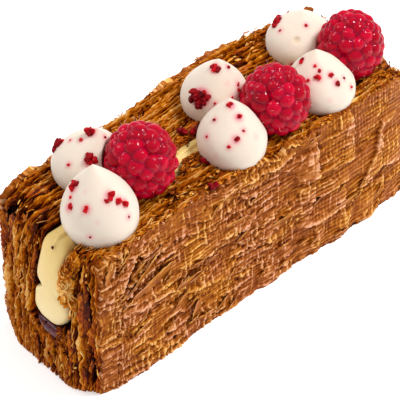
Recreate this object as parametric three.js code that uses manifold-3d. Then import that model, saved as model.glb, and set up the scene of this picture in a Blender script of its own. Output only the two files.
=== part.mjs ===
// A slice of mille feuille: one baked block of puff pastry that stands on its long edge, so that its
// leaves run upright from end to end. A slit in the top is filled with jam and pastry cream, and three
// pairs of piped cream kisses and three raspberries sit along it. Millimetres, +Z up, +X along the slice.
import * as THREE from "three";
import { mergeVertices } from "three/addons/utils/BufferGeometryUtils.js";
import Module from "manifold-3d";

const wasm = await Module();
wasm.setup();

// ---- Driving dimensions -------------------------------------------------------------------------

const LENGTH = 112.5; // block, at its top edge
const WIDTH = 40;
const HEIGHT = 47.5;
const GAP = 0.3; // air between pieces that touch
const FACET_SLACK = 0.2; // how far a round form's flat facets lie inside it

// How the baked block departs from a box.
const END_SPREAD = 3.4; // how much further out the foot of each end stands than its top
const NEAR_CORNER_IN = 3.2; // how far the foot of the back corner stands in, at the near end
const FAR_CORNER_IN = 1.5;
const FRONT_WAVE = { out: 1.1, length: 17, start: 2 }; // the front's slow swell, fading to the foot
const FRONT_FOOT = [
  { at: -40, halfWidth: 24, out: 1.1 },
  { at: 34, halfWidth: 13, out: 1 },
];
const BACK_BULGE = { at: 20, halfWidth: 24, out: 2.5 };
const BACK_DRAWN_IN = 0.7; // the back's top edge, away from its bulge
const END_TAPER = { inward: 0.9, over: 8 }; // the long faces draw in towards the ends
const FAR_DROP = { down: 2, from: 47, to: 56 }; // the front of the far end's top sags
const BACK_RISE = { up: 1.3, at: 20, halfWidth: 26 };
const SNAKE = { out: 0.9, length: 15, height: 30 }; // the leaves wander from side to side inside
const SNAKE_UNEVEN = { out: 0.5, length: 9, height: 12 };

const COLUMNS = 46; // divisions of the block along X
const LEAVES = 24; // divisions across Y: each line of vertices is the edge of a bundle of leaves
const TIERS = 11; // divisions along Z
const FOOT_TRIM = 1; // the raw block runs this far below the foot, which is then cut flat
const LEAF_RELIEF = 0.8; // how far one bundle of leaves stands proud of the next
const LEAF_WAVE = { share: 0.7, length: 7 }; // the waves in a bundle's edge
const LEAF_RAGS = { share: 0.4, length: 2.6 };
const CORNER_RELIEF = 0.4; // share of the relief that is left at the block's corners
const CORNER_WEAR = 0.5; // how much lower the outermost bundle lies on the top
const SHEET = { step: 1, length: 16, height: 11, lean: 40 }; // a torn sheet on the long faces
const SHEET_SWELL = { out: 0.35, length: 6, height: 5 };
const SHEET_BORDERS = [[-0.35, -0.15], [0.2, 0.4]]; // noise values between which a sheet's edge falls

const SLIT_FLOOR = 13.3; // height of the slit's bottom
const SLIT_TOP = HEIGHT + 6; // the cutter runs out above the block
const SLIT_REACH = LENGTH / 2 + END_SPREAD + 8; // and past its ends
const SLIT_ROUND = 7; // height of the rounded foot of its walls
const SLIT_FLOOR_SHARE = 0.3; // width of its flat floor over its greatest width
const SLIT_HALF = 6.7; // half the slit's greatest width
const SLIT_MOUTH_HALF = 4.8; // half its width at the top face
const SLIT_NARROWS = 0.5; // share of its height at which it starts to narrow
const SLIT_FLOOR_SHIFT = -3.2; // the slit lies towards the front, its mouth more so than its floor
const SLIT_MOUTH_SHIFT = -5.2;
const SLIT_BEND = [-50, -10]; // between these the mouth moves back towards the middle
const SLIT_WANDER = 2.2;
const JAM_TOP = 17.3;
const JAM_ROUND = { back: 0.6, front: 0.6 };
const JAM_BULGE = 0.8;
const CUSTARD_FLOOR = JAM_TOP + GAP;
const CUSTARD_TOP = HEIGHT + 0.9;
const CUSTARD_WAIST = 28; // height of the nick between the two piped ropes
const CUSTARD_OVERLAP = 3.5; // how far each rope runs into the other
const LOWER_ROUND = { back: 3.2, front: 5.6 }; // radius of the ropes' corners
const UPPER_ROUND = { back: 2.5, front: 2.5 };
const CUSTARD_BULGE = 1.6; // how far the ropes' ends stand out of the pastry
const CUSTARD_CROWN = { up: 0.6, uneven: 0.7, length: 8 }; // the upper rope's top is higher in its middle
const CUSTARD_STEP = 14; // length between its sections
const DOME_RINGS = [0.42, 0.76, 0.96]; // shares of a rope's bulge where its domed end has a ring

// Where the block's ends stand at the height of the jam and the lower rope, and of the upper rope.
const HALF_LOW = LENGTH / 2 + 0.6 * END_SPREAD;
const HALF_HIGH = LENGTH / 2 + 0.15 * END_SPREAD;

const KISS_WAIST = 0.23; // share of a kiss's height where it is widest
const KISS_FOOT = 0.93; // its foot's radius over its greatest radius
const KISS_SHOULDER = 1.83; // the larger, the fuller its shoulders
const KISS_POINT = 1.1; // the larger, the sharper its tip
const KISS_RINGS = 8;
const KISS_CROWDING = 1.25; // the larger, the closer its rings towards the tip
const KISS_SIDES = 18;
const CRUMB = 1.5; // a middling freeze-dried crumb, across
const CRUMB_UNEVEN = 0.3;

const DRUPELETS = 62; // on a whole raspberry
const DRUPELET_RELIEF = 0.12; // over the berry's radius
const DRUPELET_OVERLAP = 1.05; // how far a drupelet runs under its neighbours
const BERRY_FACETS = 5; // divisions of an icosahedron's edges
const BERRY_TAPER = 0.06; // how much narrower it is at its top than at its middle
const BERRY_SINK = 2; // how far a berry presses into the slit
const FOOT_SHARE = 0.95; // the part of a topping's radius that rests on the leaves

// Each kiss: where it stands, its radius and height, and how far its tip is bent over. Its crumbs are
// [bearing in degrees from +X, share of the kiss's height, size over CRUMB].
const KISSES = [
  {
    name: "kiss_1_front",
    at: [-44.2, -8.1],
    radius: 9.8,
    height: 16.8,
    tip: [0.4, 2.3],
    crumbs: [[150, 0.69, 1.7], [170, 0.5, 1.1], [208, 0.58, 1.2], [262, 0.74, 1.2], [284, 0.6, 1.5]],
  },
  {
    name: "kiss_1_back",
    at: [-34.2, 8.3],
    radius: 9.6,
    height: 14.6,
    tip: [2.2, -2.0],
    crumbs: [[138, 0.93, 1.6], [118, 0.48, 1.6], [132, 0.69, 0.9], [160, 0.81, 0.9], [226, 0.62, 1.7]],
  },
  {
    name: "kiss_2_front",
    at: [-1.2, -10.4],
    radius: 9.2,
    height: 15.2,
    tip: [1.0, 2.4],
    crumbs: [[244, 0.92, 1.3], [260, 0.79, 1.1], [236, 0.56, 1], [222, 0.47, 0.9], [172, 0.49, 0.9]],
  },
  {
    name: "kiss_2_back",
    at: [7.4, 5.4],
    radius: 9.1,
    height: 15.6,
    tip: [0.8, -0.6],
    crumbs: [[204, 0.89, 1.6], [308, 0.85, 1], [196, 0.51, 3], [284, 0.58, 1.2], [230, 0.46, 0.9]],
  },
  {
    name: "kiss_3_front",
    at: [31.2, -10.8],
    radius: 9.3,
    height: 14.4,
    tip: [-0.4, 2.2],
    crumbs: [[132, 0.74, 1.2], [228, 0.76, 1.1], [222, 0.66, 1.6], [260, 0.68, 1.3], [260, 0.56, 1.3]],
  },
  {
    name: "kiss_3_back",
    at: [41.2, 6.8],
    radius: 9.6,
    height: 12.6,
    tip: [0.4, 0.4],
    crumbs: [[104, 0.55, 1.8], [126, 0.61, 1.8], [86, 0.69, 1.2], [162, 0.63, 0.9], [244, 0.81, 0.8]],
  },
];

const BERRIES = [
  { name: "raspberry_1", at: [-27.5, -4.6], radius: 9.6, half: 10.5, turn: 0.4 },
  { name: "raspberry_2", at: [14.2, -10.5], radius: 9.4, half: 10.0, turn: 1.9 },
  { name: "raspberry_3", at: [44.9, -8.2], radius: 9.3, half: 10.0, turn: 3.1 },
];

const FINISHES = {
  pastry: { color: 0xb57a36, roughness: 0.8 },
  custard: { color: 0xf0dc94, roughness: 0.4 },
  jam: { color: 0x5a1220, roughness: 0.25 },
  cream: { color: 0xf6f0e2, roughness: 0.45 },
  raspberry: { color: 0xb3123a, roughness: 0.35 },
};

// ---- Small helpers ------------------------------------------------------------------------------

const { clamp, smoothstep, lerp, degToRad } = THREE.MathUtils;
const TINY = 1e-3;

// A number from 0 to 1 that belongs to a cell of a grid.
function cellValue(i, j, seed) {
  const s = Math.sin(i * 127.1 + j * 311.7 + seed * 74.7) * 43758.5453;
  return s - Math.floor(s);
}

// Value noise from -1 to 1, smooth between the cells.
function noise(a, b, seed) {
  const i = Math.floor(a);
  const j = Math.floor(b);
  const u = smoothstep(a - i, 0, 1);
  const v = smoothstep(b - j, 0, 1);
  const low = lerp(cellValue(i, j, seed), cellValue(i + 1, j, seed), u);
  const high = lerp(cellValue(i, j + 1, seed), cellValue(i + 1, j + 1, seed), u);
  return 2 * lerp(low, high, v) - 1;
}

// A bell of height 1 and the given half-width.
function bell(distance, halfWidth) {
  return Math.exp(-((distance / halfWidth) ** 2));
}

// A closed three.js geometry as a manifold-3d solid.
function solidOf(geometry) {
  const bare = geometry.clone();
  bare.deleteAttribute("normal");
  bare.deleteAttribute("uv");
  const merged = mergeVertices(bare, 1e-4);
  return new wasm.Manifold(
    new wasm.Mesh({
      numProp: 3,
      vertProperties: new Float32Array(merged.attributes.position.array),
      triVerts: new Uint32Array(merged.index.array),
    }),
  );
}

// The largest body of a manifold-3d solid as a three.js geometry.
function geometryOf(solid) {
  const bodies = solid.decompose().sort((a, b) => b.volume() - a.volume());
  const mesh = bodies[0].getMesh();
  const flat = new THREE.BufferGeometry();
  flat.setAttribute("position", new THREE.BufferAttribute(new Float32Array(mesh.vertProperties), 3));
  flat.setIndex(new THREE.BufferAttribute(new Uint32Array(mesh.triVerts), 1));
  flat.computeVertexNormals();
  return flat;
}

// Moves every vertex of a geometry by a function of its place.
function reshape(geometry, place) {
  const position = geometry.attributes.position;
  const point = new THREE.Vector3();
  for (let i = 0; i < position.count; i++) {
    point.fromBufferAttribute(position, i);
    place(point);
    position.setXYZ(i, point.x, point.y, point.z);
  }
  return geometry;
}

// A skin through rings of points that lie along X, with a flat fan at each end.
function loft(rings) {
  const count = rings[0].length;
  const points = rings.flat();
  const faces = [];
  for (let r = 0; r + 1 < rings.length; r++) {
    for (let k = 0; k < count; k++) {
      const a = r * count + k;
      const b = r * count + ((k + 1) % count);
      faces.push(a, b, b + count, a, b + count, a + count);
    }
  }
  for (const [r, flip] of [[0, false], [rings.length - 1, true]]) {
    const middle = new THREE.Vector3();
    rings[r].forEach((p) => middle.addScaledVector(p, 1 / count));
    points.push(middle);
    for (let k = 0; k < count; k++) {
      const a = r * count + k;
      const b = r * count + ((k + 1) % count);
      faces.push(...(flip ? [points.length - 1, a, b] : [points.length - 1, b, a]));
    }
  }
  const skin = new THREE.BufferGeometry().setFromPoints(points);
  skin.setIndex(faces);
  return skin;
}

// ---- The pastry block ---------------------------------------------------------------------------

// How far the edge of one bundle of leaves stands out, along the line it follows.
function leafEdge(leaf, along) {
  const alternate = leaf % 2 ? 0.5 : -0.5;
  const wave = LEAF_WAVE.share * noise(along / LEAF_WAVE.length, leaf * 3.7, 11);
  const rags = LEAF_RAGS.share * noise(along / LEAF_RAGS.length, leaf * 5.3, 12);
  return LEAF_RELIEF * (alternate + wave + rags);
}

// Torn sheets on a long face: steps between overlapping terraces, with a little swell between.
function tornSheets(x, z, seed) {
  const drift = noise(x / SHEET.length + z / SHEET.lean, z / SHEET.height, seed);
  const steps = SHEET_BORDERS.reduce((sum, [from, to]) => sum + smoothstep(drift, from, to), 0);
  const swell = SHEET_SWELL.out * noise(x / SHEET_SWELL.length, z / SHEET_SWELL.height, seed + 1);
  return SHEET.step * (steps - 1) + swell;
}

// How far a point of the block's box is moved out along X, Y and Z by baking and cutting.
function bakedShape({ x, y, z }) {
  const low = clamp(1 - z / HEIGHT, 0, 1);
  const cornerIn = smoothstep(y, 9, WIDTH / 2) * (x < 0 ? NEAR_CORNER_IN : FAR_CORNER_IN);
  const endOut = END_SPREAD * low ** 0.8 - cornerIn * low;

  const wave = FRONT_WAVE.out * Math.sin((x - FRONT_WAVE.start) / FRONT_WAVE.length) * (1 - 0.7 * low);
  const foot = FRONT_FOOT.reduce((sum, { at, halfWidth, out }) => sum + out * bell(x - at, halfWidth), 0);
  const bulge = BACK_BULGE.out * bell(x - BACK_BULGE.at, BACK_BULGE.halfWidth) - BACK_DRAWN_IN;
  const sideOut = y < 0 ? wave + foot * low : bulge * (1 - low);
  const taper = END_TAPER.inward * smoothstep(Math.abs(x), LENGTH / 2 - END_TAPER.over, LENGTH / 2);

  const drop = FAR_DROP.down * smoothstep(x, FAR_DROP.from, FAR_DROP.to) * smoothstep(-y, 4, WIDTH / 2);
  const rise = BACK_RISE.up * bell(x - BACK_RISE.at, BACK_RISE.halfWidth) * smoothstep(y, 0, 16);

  const inner = 1 - Math.abs(y) / (WIDTH / 2);
  const sway = SNAKE.out * Math.sin(x / SNAKE.length + z / SNAKE.height);
  const uneven = SNAKE_UNEVEN.out * noise(x / SNAKE_UNEVEN.length, z / SNAKE_UNEVEN.height, 21);
  return new THREE.Vector3(
    (x / (LENGTH / 2)) * endOut,
    (y / (WIDTH / 2)) * (sideOut - taper) + inner * (sway + uneven),
    (1 - low) * (rise - drop),
  );
}

// The baked shape, with the relief of the leaves' cut edges and of the torn sheets on it.
function blockPlace(point) {
  const { x, y, z } = point;
  const onEnd = Math.abs(x) > LENGTH / 2 - TINY;
  const onTop = z > HEIGHT - TINY;
  const onSide = Math.abs(y) > WIDTH / 2 - TINY;
  const end = Math.sign(x);
  const side = Math.sign(y);
  const leaf = Math.round(((y + WIDTH / 2) / WIDTH) * LEAVES);
  point.add(bakedShape(point));
  if (onTop) point.z += leafEdge(leaf, x) - (onSide ? CORNER_WEAR : 0);
  if (onEnd) point.x += end * leafEdge(leaf + LEAVES * (end + 1), z) * (onSide ? CORNER_RELIEF : 1);
  if (onSide) point.y += side * tornSheets(x, z, side > 0 ? 31 : 33);
}

// The block before it is slit. The points of its top face are kept, to stand the toppings on.
const topPoints = [];

function blockSolid() {
  const box = new THREE.BoxGeometry(LENGTH, WIDTH, HEIGHT + FOOT_TRIM, COLUMNS, LEAVES, TIERS);
  box.translate(0, 0, (HEIGHT - FOOT_TRIM) / 2);
  reshape(box, (point) => {
    const onTop = point.z > HEIGHT - TINY;
    blockPlace(point);
    if (onTop) topPoints.push(point.clone());
  });
  const ground = new THREE.BoxGeometry(2 * LENGTH, 2 * WIDTH, 4 * FOOT_TRIM);
  ground.translate(0, 0, -2 * FOOT_TRIM);
  return solidOf(box).subtract(solidOf(ground));
}

// The highest leaf edge under a topping, which is what carries it.
function crestUnder(at, radius) {
  const under = topPoints.filter((p) => Math.hypot(p.x - at[0], p.y - at[1]) < radius);
  return Math.max(...under.map((p) => p.z));
}

// ---- The slit and its fillings ------------------------------------------------------------------

// The slit's middle at a height, and how it wanders along the block.
function slitMiddle(x, z) {
  const rise = clamp((z - SLIT_FLOOR) / (HEIGHT - SLIT_FLOOR), 0, 1.2);
  const [from, to] = SLIT_BEND;
  const wander = SLIT_WANDER * clamp((x - from) / (to - from), 0, 1);
  return SLIT_FLOOR_SHIFT + (SLIT_MOUTH_SHIFT - SLIT_FLOOR_SHIFT + wander) * rise;
}

function slitHalf(z) {
  const rise = (z - SLIT_FLOOR) / (HEIGHT - SLIT_FLOOR);
  const foot = clamp((z - SLIT_FLOOR) / SLIT_ROUND, 0, 1);
  const round = lerp(SLIT_FLOOR_SHARE, 1, Math.sqrt(1 - (1 - foot) ** 2));
  return lerp(SLIT_HALF, SLIT_MOUTH_HALF, smoothstep(rise, SLIT_NARROWS, 1)) * round;
}

// The same half-width, straight between the heights at which the slit's walls have corners.
const WALL_CORNERS = [0, 0.5, 1.6, 4, SLIT_ROUND, 16, 21, 26, 31, SLIT_TOP - SLIT_FLOOR];

function wallHalf(z) {
  const above = z - SLIT_FLOOR;
  const upper = Math.max(1, WALL_CORNERS.findIndex((corner) => corner >= above - TINY));
  const [from, to] = [WALL_CORNERS[upper - 1], WALL_CORNERS[upper]];
  const halfAt = (corner) => slitHalf(SLIT_FLOOR + corner);
  return lerp(halfAt(from), halfAt(to), (above - from) / (to - from));
}

// Where a rounded corner gets its points, from its start to its end.
const ROUND_STEPS = [0.1, 0.45, 1];

// A ring round the slit's section between two heights, drawn in by `inset`, its corners rounded by the
// radii in `round`, its top swollen by `bow`, and shrunk about its middle by `scale`.
function slitRing(x, low, high, { inset = 0, round = { back: 0, front: 0 }, bow = 0 }, scale = 1) {
  const radii = [...new Set([round.back, round.front])].filter((radius) => radius > 0);
  const rounded = radii.flatMap((radius) => ROUND_STEPS.map((share) => share * radius));
  const corners = WALL_CORNERS.map((above) => SLIT_FLOOR + above);
  const wanted = [...corners, ...rounded.flatMap((d) => [low + d, high - d])];
  const between = wanted.filter((z) => z > low + 0.1 && z < high - 0.1);
  const heights = [low, ...between.sort((a, b) => a - b), high];
  const middleZ = (low + high) / 2;
  const centre = slitMiddle(x, middleZ);
  const corner = (side, z, lift) => {
    const radius = side > 0 ? round.back : round.front;
    const toEdge = radius ? clamp(Math.min(z - low, high - z) / radius, 0, 1) : 1;
    const drawnIn = inset + radius * (1 - Math.sqrt(1 - (1 - toEdge) ** 2));
    const y = slitMiddle(x, z) + side * (wallHalf(z) - drawnIn);
    return new THREE.Vector3(x, centre + (y - centre) * scale, middleZ + (z + lift - middleZ) * scale);
  };
  return [
    ...heights.map((z) => corner(1, z, 0)),
    corner(0, high, bow),
    ...heights.reverse().map((z) => corner(-1, z, 0)),
    corner(0, low, 0),
  ];
}

// Places along the slit, no further apart than `step`, with one at each of its bends.
function stations(half, step) {
  const corners = [-half, ...SLIT_BEND, half];
  const places = [-half];
  for (let k = 1; k < corners.length; k++) {
    const pieces = Math.ceil((corners[k] - corners[k - 1]) / step);
    for (let n = 1; n <= pieces; n++) places.push(lerp(corners[k - 1], corners[k], n / pieces));
  }
  return places;
}

function slitCutter() {
  const places = stations(SLIT_REACH, SLIT_REACH);
  return solidOf(loft(places.map((x) => slitRing(x, SLIT_FLOOR, SLIT_TOP, {}))));
}

// How high the upper rope's middle stands above its edges.
function crownAt(x) {
  return CUSTARD_CROWN.up * (1 + CUSTARD_CROWN.uneven * noise(x / CUSTARD_CROWN.length, 0, 41));
}

// One filling laid along the slit, its ends rounded and standing out of the pastry by `bulge`.
function filling({ low, high, half, step = LENGTH, bulge, section }) {
  const bowAt = (x) => (section.crown ? crownAt(x) : 0);
  const ring = (x, scale) => slitRing(x, low, high, { ...section, bow: bowAt(x) }, scale);
  const domeRing = (end, out) => ring(end * (half + bulge * out), Math.sqrt(1 - out ** 2));
  const capped = (end) => DOME_RINGS.map((out) => domeRing(end, out));
  const straight = stations(half, step).map((x) => ring(x, 1));
  return solidOf(loft([...capped(-1).reverse(), ...straight, ...capped(1)]));
}

// Pastry cream, piped in two ropes that meet at a waist.
function custardSolid() {
  const inset = GAP + 0.05;
  const lower = filling({
    low: CUSTARD_FLOOR,
    high: CUSTARD_WAIST + CUSTARD_OVERLAP,
    half: HALF_LOW,
    bulge: CUSTARD_BULGE,
    section: { inset, round: LOWER_ROUND },
  });
  const upper = filling({
    low: CUSTARD_WAIST - CUSTARD_OVERLAP,
    high: CUSTARD_TOP,
    half: HALF_HIGH,
    step: CUSTARD_STEP,
    bulge: CUSTARD_BULGE,
    section: { inset, round: UPPER_ROUND, crown: true },
  });
  return lower.add(upper);
}

function jamSolid() {
  const clearance = GAP + 0.1;
  return filling({
    low: SLIT_FLOOR + clearance,
    high: JAM_TOP,
    half: HALF_LOW,
    bulge: JAM_BULGE,
    section: { inset: clearance, round: JAM_ROUND },
  });
}

// ---- Piped kisses and their crumbs --------------------------------------------------------------

// A kiss's radius at a height from 0 to 1: a round foot, then shoulders that draw in to a point.
function kissRadius(share) {
  if (share < KISS_WAIST) {
    const down = (KISS_WAIST - share) / KISS_WAIST;
    return KISS_FOOT + (1 - KISS_FOOT) * Math.sqrt(1 - down ** 2);
  }
  const up = (share - KISS_WAIST) / (1 - KISS_WAIST);
  return (1 - up ** KISS_SHOULDER) ** KISS_POINT;
}

// A point on a kiss: bearing in radians, height as a share of the kiss's own.
function kissPoint(kiss, bearing, share) {
  const reach = kiss.radius * kissRadius(clamp(share, 0, 1));
  const bend = clamp(share, 0, 1) ** 2;
  return new THREE.Vector3(
    kiss.at[0] + kiss.tip[0] * bend + reach * Math.cos(bearing),
    kiss.at[1] + kiss.tip[1] * bend + reach * Math.sin(bearing),
    HEIGHT + share * kiss.height,
  );
}

// The height of a kiss's or a berry's foot, just clear of the leaves that carry it.
function footOf(topping) {
  return crestUnder(topping.at, FOOT_SHARE * topping.radius) + GAP;
}

// A kiss, larger all round by `grow`.
function kissBody(kiss, grow) {
  const grown = { ...kiss, radius: kiss.radius + grow, height: kiss.height + grow };
  const foot = (footOf(kiss) - grow - HEIGHT) / grown.height;
  const footMiddle = new THREE.Vector3(...kiss.at, HEIGHT + foot * grown.height);
  const profile = [new THREE.Vector2(0, 0)];
  for (let k = 0; k < KISS_RINGS; k++) profile.push(new THREE.Vector2(1, k / KISS_RINGS));
  profile.push(new THREE.Vector2(0, 1));
  const lathe = new THREE.LatheGeometry(profile, KISS_SIDES);
  return solidOf(
    reshape(lathe, (point) => {
      const share = lerp(foot, 1, 1 - (1 - point.y) ** KISS_CROWDING);
      const onAxis = Math.hypot(point.x, point.z) < TINY;
      const bearing = Math.atan2(point.x, point.z);
      point.copy(onAxis && point.y < TINY ? footMiddle : kissPoint(grown, bearing, share));
    }),
  );
}

// A crumb of freeze-dried fruit: a small lump with uneven corners.
function crumbSolid(centre, size, seed) {
  const lump = new THREE.IcosahedronGeometry(1, 0);
  const turn = new THREE.Matrix4().makeRotationFromEuler(new THREE.Euler(seed, seed * 2.3, seed * 0.7));
  lump.applyMatrix4(turn);
  return solidOf(
    reshape(lump, (point) => {
      const uneven = 1 + CRUMB_UNEVEN * noise(point.x * 3 + seed, point.y * 3 + point.z * 2, 51);
      point.multiplyScalar((size / 2) * uneven).add(centre);
    }),
  );
}

function crumbsOf(kiss) {
  return kiss.crumbs.map(([degrees, share, size], k) => {
    const centre = kissPoint(kiss, degToRad(degrees), share);
    return crumbSolid(centre, size * CRUMB, k + kiss.at[0]);
  });
}

// ---- Raspberries --------------------------------------------------------------------------------

// Directions spread evenly over a ball: the drupelets' middles.
function drupeletDirections(turn) {
  const golden = Math.PI * (3 - Math.sqrt(5));
  return Array.from({ length: DRUPELETS }, (_, k) => {
    const z = 1 - (2 * k + 1) / DRUPELETS;
    const across = Math.sqrt(1 - z * z);
    const bearing = golden * k + turn;
    return new THREE.Vector3(across * Math.cos(bearing), across * Math.sin(bearing), z);
  });
}

// The berry's form before its drupelets: an egg that is a little narrower towards the top.
function berryPlace(berry, direction, radius, half) {
  const taper = 1 - BERRY_TAPER * direction.z;
  const centreZ = HEIGHT - BERRY_SINK + berry.half;
  return new THREE.Vector3(
    berry.at[0] + direction.x * radius * taper,
    berry.at[1] + direction.y * radius * taper,
    centreZ + direction.z * half,
  );
}

function berrySolid(berry) {
  const middles = drupeletDirections(berry.turn);
  const spread = Math.sqrt(4 / DRUPELETS) * DRUPELET_OVERLAP; // angle from its middle to its rim
  const foot = footOf(berry);
  const ball = new THREE.IcosahedronGeometry(1, BERRY_FACETS);
  return solidOf(
    reshape(ball, (point) => {
      const direction = point.clone().normalize();
      const angle = Math.min(...middles.map((middle) => direction.angleTo(middle)));
      const dome = Math.sqrt(Math.max(0, 1 - (angle / spread) ** 2));
      const scale = 1 - DRUPELET_RELIEF * (1 - dome);
      point.copy(berryPlace(berry, direction, berry.radius * scale, berry.half * scale));
      point.z = Math.max(point.z, foot);
    }),
  );
}

// A berry's smooth outer form, larger all round by `grow`.
function berryEnvelope(berry, grow) {
  const foot = footOf(berry) - grow;
  const more = grow + FACET_SLACK;
  const ball = new THREE.IcosahedronGeometry(1, BERRY_FACETS - 2);
  return solidOf(
    reshape(ball, (point) => {
      const direction = point.clone().normalize();
      point.copy(berryPlace(berry, direction, berry.radius + more, berry.half + more));
      point.z = Math.max(point.z, foot);
    }),
  );
}

// ---- The slice ----------------------------------------------------------------------------------

const slice = new THREE.Group();
const built = new THREE.Group();
slice.add(built);

function addPiece(name, finish, solid) {
  const material = new THREE.MeshStandardMaterial({ ...FINISHES[finish], metalness: 0 });
  const mesh = new THREE.Mesh(geometryOf(solid), material);
  mesh.name = name;
  built.add(mesh);
}

addPiece("pastry", "pastry", blockSolid().subtract(slitCutter()));
addPiece("jam", "jam", jamSolid());

// The custard is pressed down by what stands on it.
const berryForms = BERRIES.map((berry) => berryEnvelope(berry, GAP));
const kissForms = new Map(KISSES.map((kiss) => [kiss.name, kissBody(kiss, GAP)]));
let custard = custardSolid();
for (const form of [...berryForms, ...kissForms.values()]) custard = custard.subtract(form);
addPiece("custard", "custard", custard);

for (const berry of BERRIES) addPiece(berry.name, "raspberry", berrySolid(berry));

// The kisses give way to the berries, and each back kiss to the front one piped against it.
for (const kiss of KISSES) {
  let body = kissBody(kiss, 0);
  for (const crumb of crumbsOf(kiss)) body = body.add(crumb);
  for (const form of berryForms) body = body.subtract(form);
  if (kiss.name.endsWith("back")) body = body.subtract(kissForms.get(kiss.name.replace("back", "front")));
  addPiece(kiss.name, "cream", body);
}

// The origin is the middle of the foot.
const bounds = new THREE.Box3().setFromObject(built);
const middle = bounds.getCenter(new THREE.Vector3());
built.position.set(-middle.x, -middle.y, -bounds.min.z);

export default slice;
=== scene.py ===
# %% [markdown]
# # A slice of mille feuille
# The slice is one baked block of puff pastry that stands on its long edge, so that its leaves run upright
# from end to end. A slit in its top holds jam and pastry cream. Three pairs of piped cream kisses and three
# raspberries sit along it, with crumbs of freeze-dried fruit. The plain solids of the construction model are
# loaded first and stay where they are. Each finished piece is then built in the place of one of them.

# %% Load the frame
import itertools
import math

import bpy
import numpy as np
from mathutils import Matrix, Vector


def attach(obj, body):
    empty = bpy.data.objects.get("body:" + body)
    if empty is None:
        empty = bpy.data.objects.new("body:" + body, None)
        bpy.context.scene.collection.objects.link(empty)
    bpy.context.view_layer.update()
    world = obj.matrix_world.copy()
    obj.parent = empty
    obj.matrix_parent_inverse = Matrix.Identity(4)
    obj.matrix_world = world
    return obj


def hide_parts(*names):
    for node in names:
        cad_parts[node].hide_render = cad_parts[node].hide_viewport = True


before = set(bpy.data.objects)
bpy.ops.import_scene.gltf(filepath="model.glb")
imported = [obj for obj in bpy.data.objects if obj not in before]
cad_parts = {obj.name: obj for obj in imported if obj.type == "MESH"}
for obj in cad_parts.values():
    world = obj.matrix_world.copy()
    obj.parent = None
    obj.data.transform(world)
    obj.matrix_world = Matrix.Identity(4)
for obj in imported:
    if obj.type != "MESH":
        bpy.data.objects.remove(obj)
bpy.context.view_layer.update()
print("nodes:", sorted(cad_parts))

# %% [markdown]
# ## Units and the block's own dimensions
# Bakers and pastry cooks think in millimetres, so every size here is in millimetres in the block's own
# frame: +X along the slice, +Z up. A mesh is turned into Blender's metres once, when it is made.

# %% Driving dimensions
MM = 0.001
FOOT_CENTRE = np.array([0.069, -0.101, 0.0])  # the block's middle line, seen from the frame's origin
LENGTH = 112.5
WIDTH = 40.0
HEIGHT = 47.5
END_SPREAD = 3.4  # how much further out the foot of each end stands than its top
rng = np.random.default_rng(11)

# %% [markdown]
# ## The camera
# A long lens from far off keeps the block's edges almost parallel, as in a product picture. The camera is
# placed by the two angles it looks along, which is easier to reason about than a position.

# %% Camera
VIEW_AZIMUTH = math.radians(-42.896)
VIEW_ELEVATION = math.radians(43.497)
VIEW_DISTANCE = 0.5
VIEW_TARGET = Vector((-0.00345, -0.00079, 0.02375))

camera_data = bpy.data.cameras.new("camera")
camera_data.sensor_width = 36
camera_data.lens = 166.45
camera_data.clip_start = 0.05
camera_data.clip_end = 10
camera = bpy.data.objects.new("camera", camera_data)
bpy.context.scene.collection.objects.link(camera)
towards_camera = Vector((
    math.sin(VIEW_AZIMUTH) * math.cos(VIEW_ELEVATION),
    -math.cos(VIEW_AZIMUTH) * math.cos(VIEW_ELEVATION),
    math.sin(VIEW_ELEVATION),
))
camera.location = VIEW_TARGET + VIEW_DISTANCE * towards_camera
camera.rotation_euler = (-towards_camera).to_track_quat("-Z", "Y").to_euler()
bpy.context.scene.camera = camera
print("camera at", [round(c, 4) for c in camera.location])

# %% [markdown]
# ## Light
# The slice stands in a white light tent: an even white world, one large soft light high on the right that
# shapes the cream and the berries, and a smaller one behind that picks out the pastry's torn edges.

# %% World and lights
world = bpy.data.worlds.new("light_tent")
world.use_nodes = True
world.node_tree.nodes["Background"].inputs["Color"].default_value = (1.0, 0.985, 0.965, 1)
world.node_tree.nodes["Background"].inputs["Strength"].default_value = 0.5
bpy.context.scene.world = world
bpy.context.scene.view_settings.view_transform = "Standard"


def add_soft_light(name, direction, distance, size, watts):
    """A square soft light that shines on the slice from a direction."""
    data = bpy.data.lights.new(name, "AREA")
    data.size = size
    data.energy = watts
    light = bpy.data.objects.new(name, data)
    away = Vector(direction).normalized()
    light.location = VIEW_TARGET + distance * away
    light.rotation_euler = (-away).to_track_quat("-Z", "Y").to_euler()
    bpy.context.scene.collection.objects.link(light)
    print(name, "at", [round(c, 2) for c in light.location])


add_soft_light("key_light", (0.45, -0.35, 0.95), 0.6, 0.14, 2.6)
add_soft_light("back_light", (-0.35, 0.75, 0.9), 0.7, 0.3, 1.6)

# %% [markdown]
# ## Noise
# Pastry is uneven at every scale. Value noise gives that: each whole-number cell gets a repeatable random
# number, and places between them get a smooth blend. The seeds make every run alike.

# %% Noise helpers
def smooth(value, low, high):
    """0 below low, 1 above high, and a smooth step between."""
    share = np.clip((value - low) / (high - low), 0, 1)
    return share * share * (3 - 2 * share)


def cell_value(i, j, k, seed):
    """A repeatable number from 0 to 1 for each cell of a grid."""
    mixed = (i * 374761393 + j * 668265263 + k * 974634777 + seed * 1446647) & 0xFFFFFFFF
    mixed = ((mixed ^ (mixed >> 13)) * 1274126177) & 0xFFFFFFFF
    return (mixed ^ (mixed >> 16)) / 0xFFFFFFFF


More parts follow.
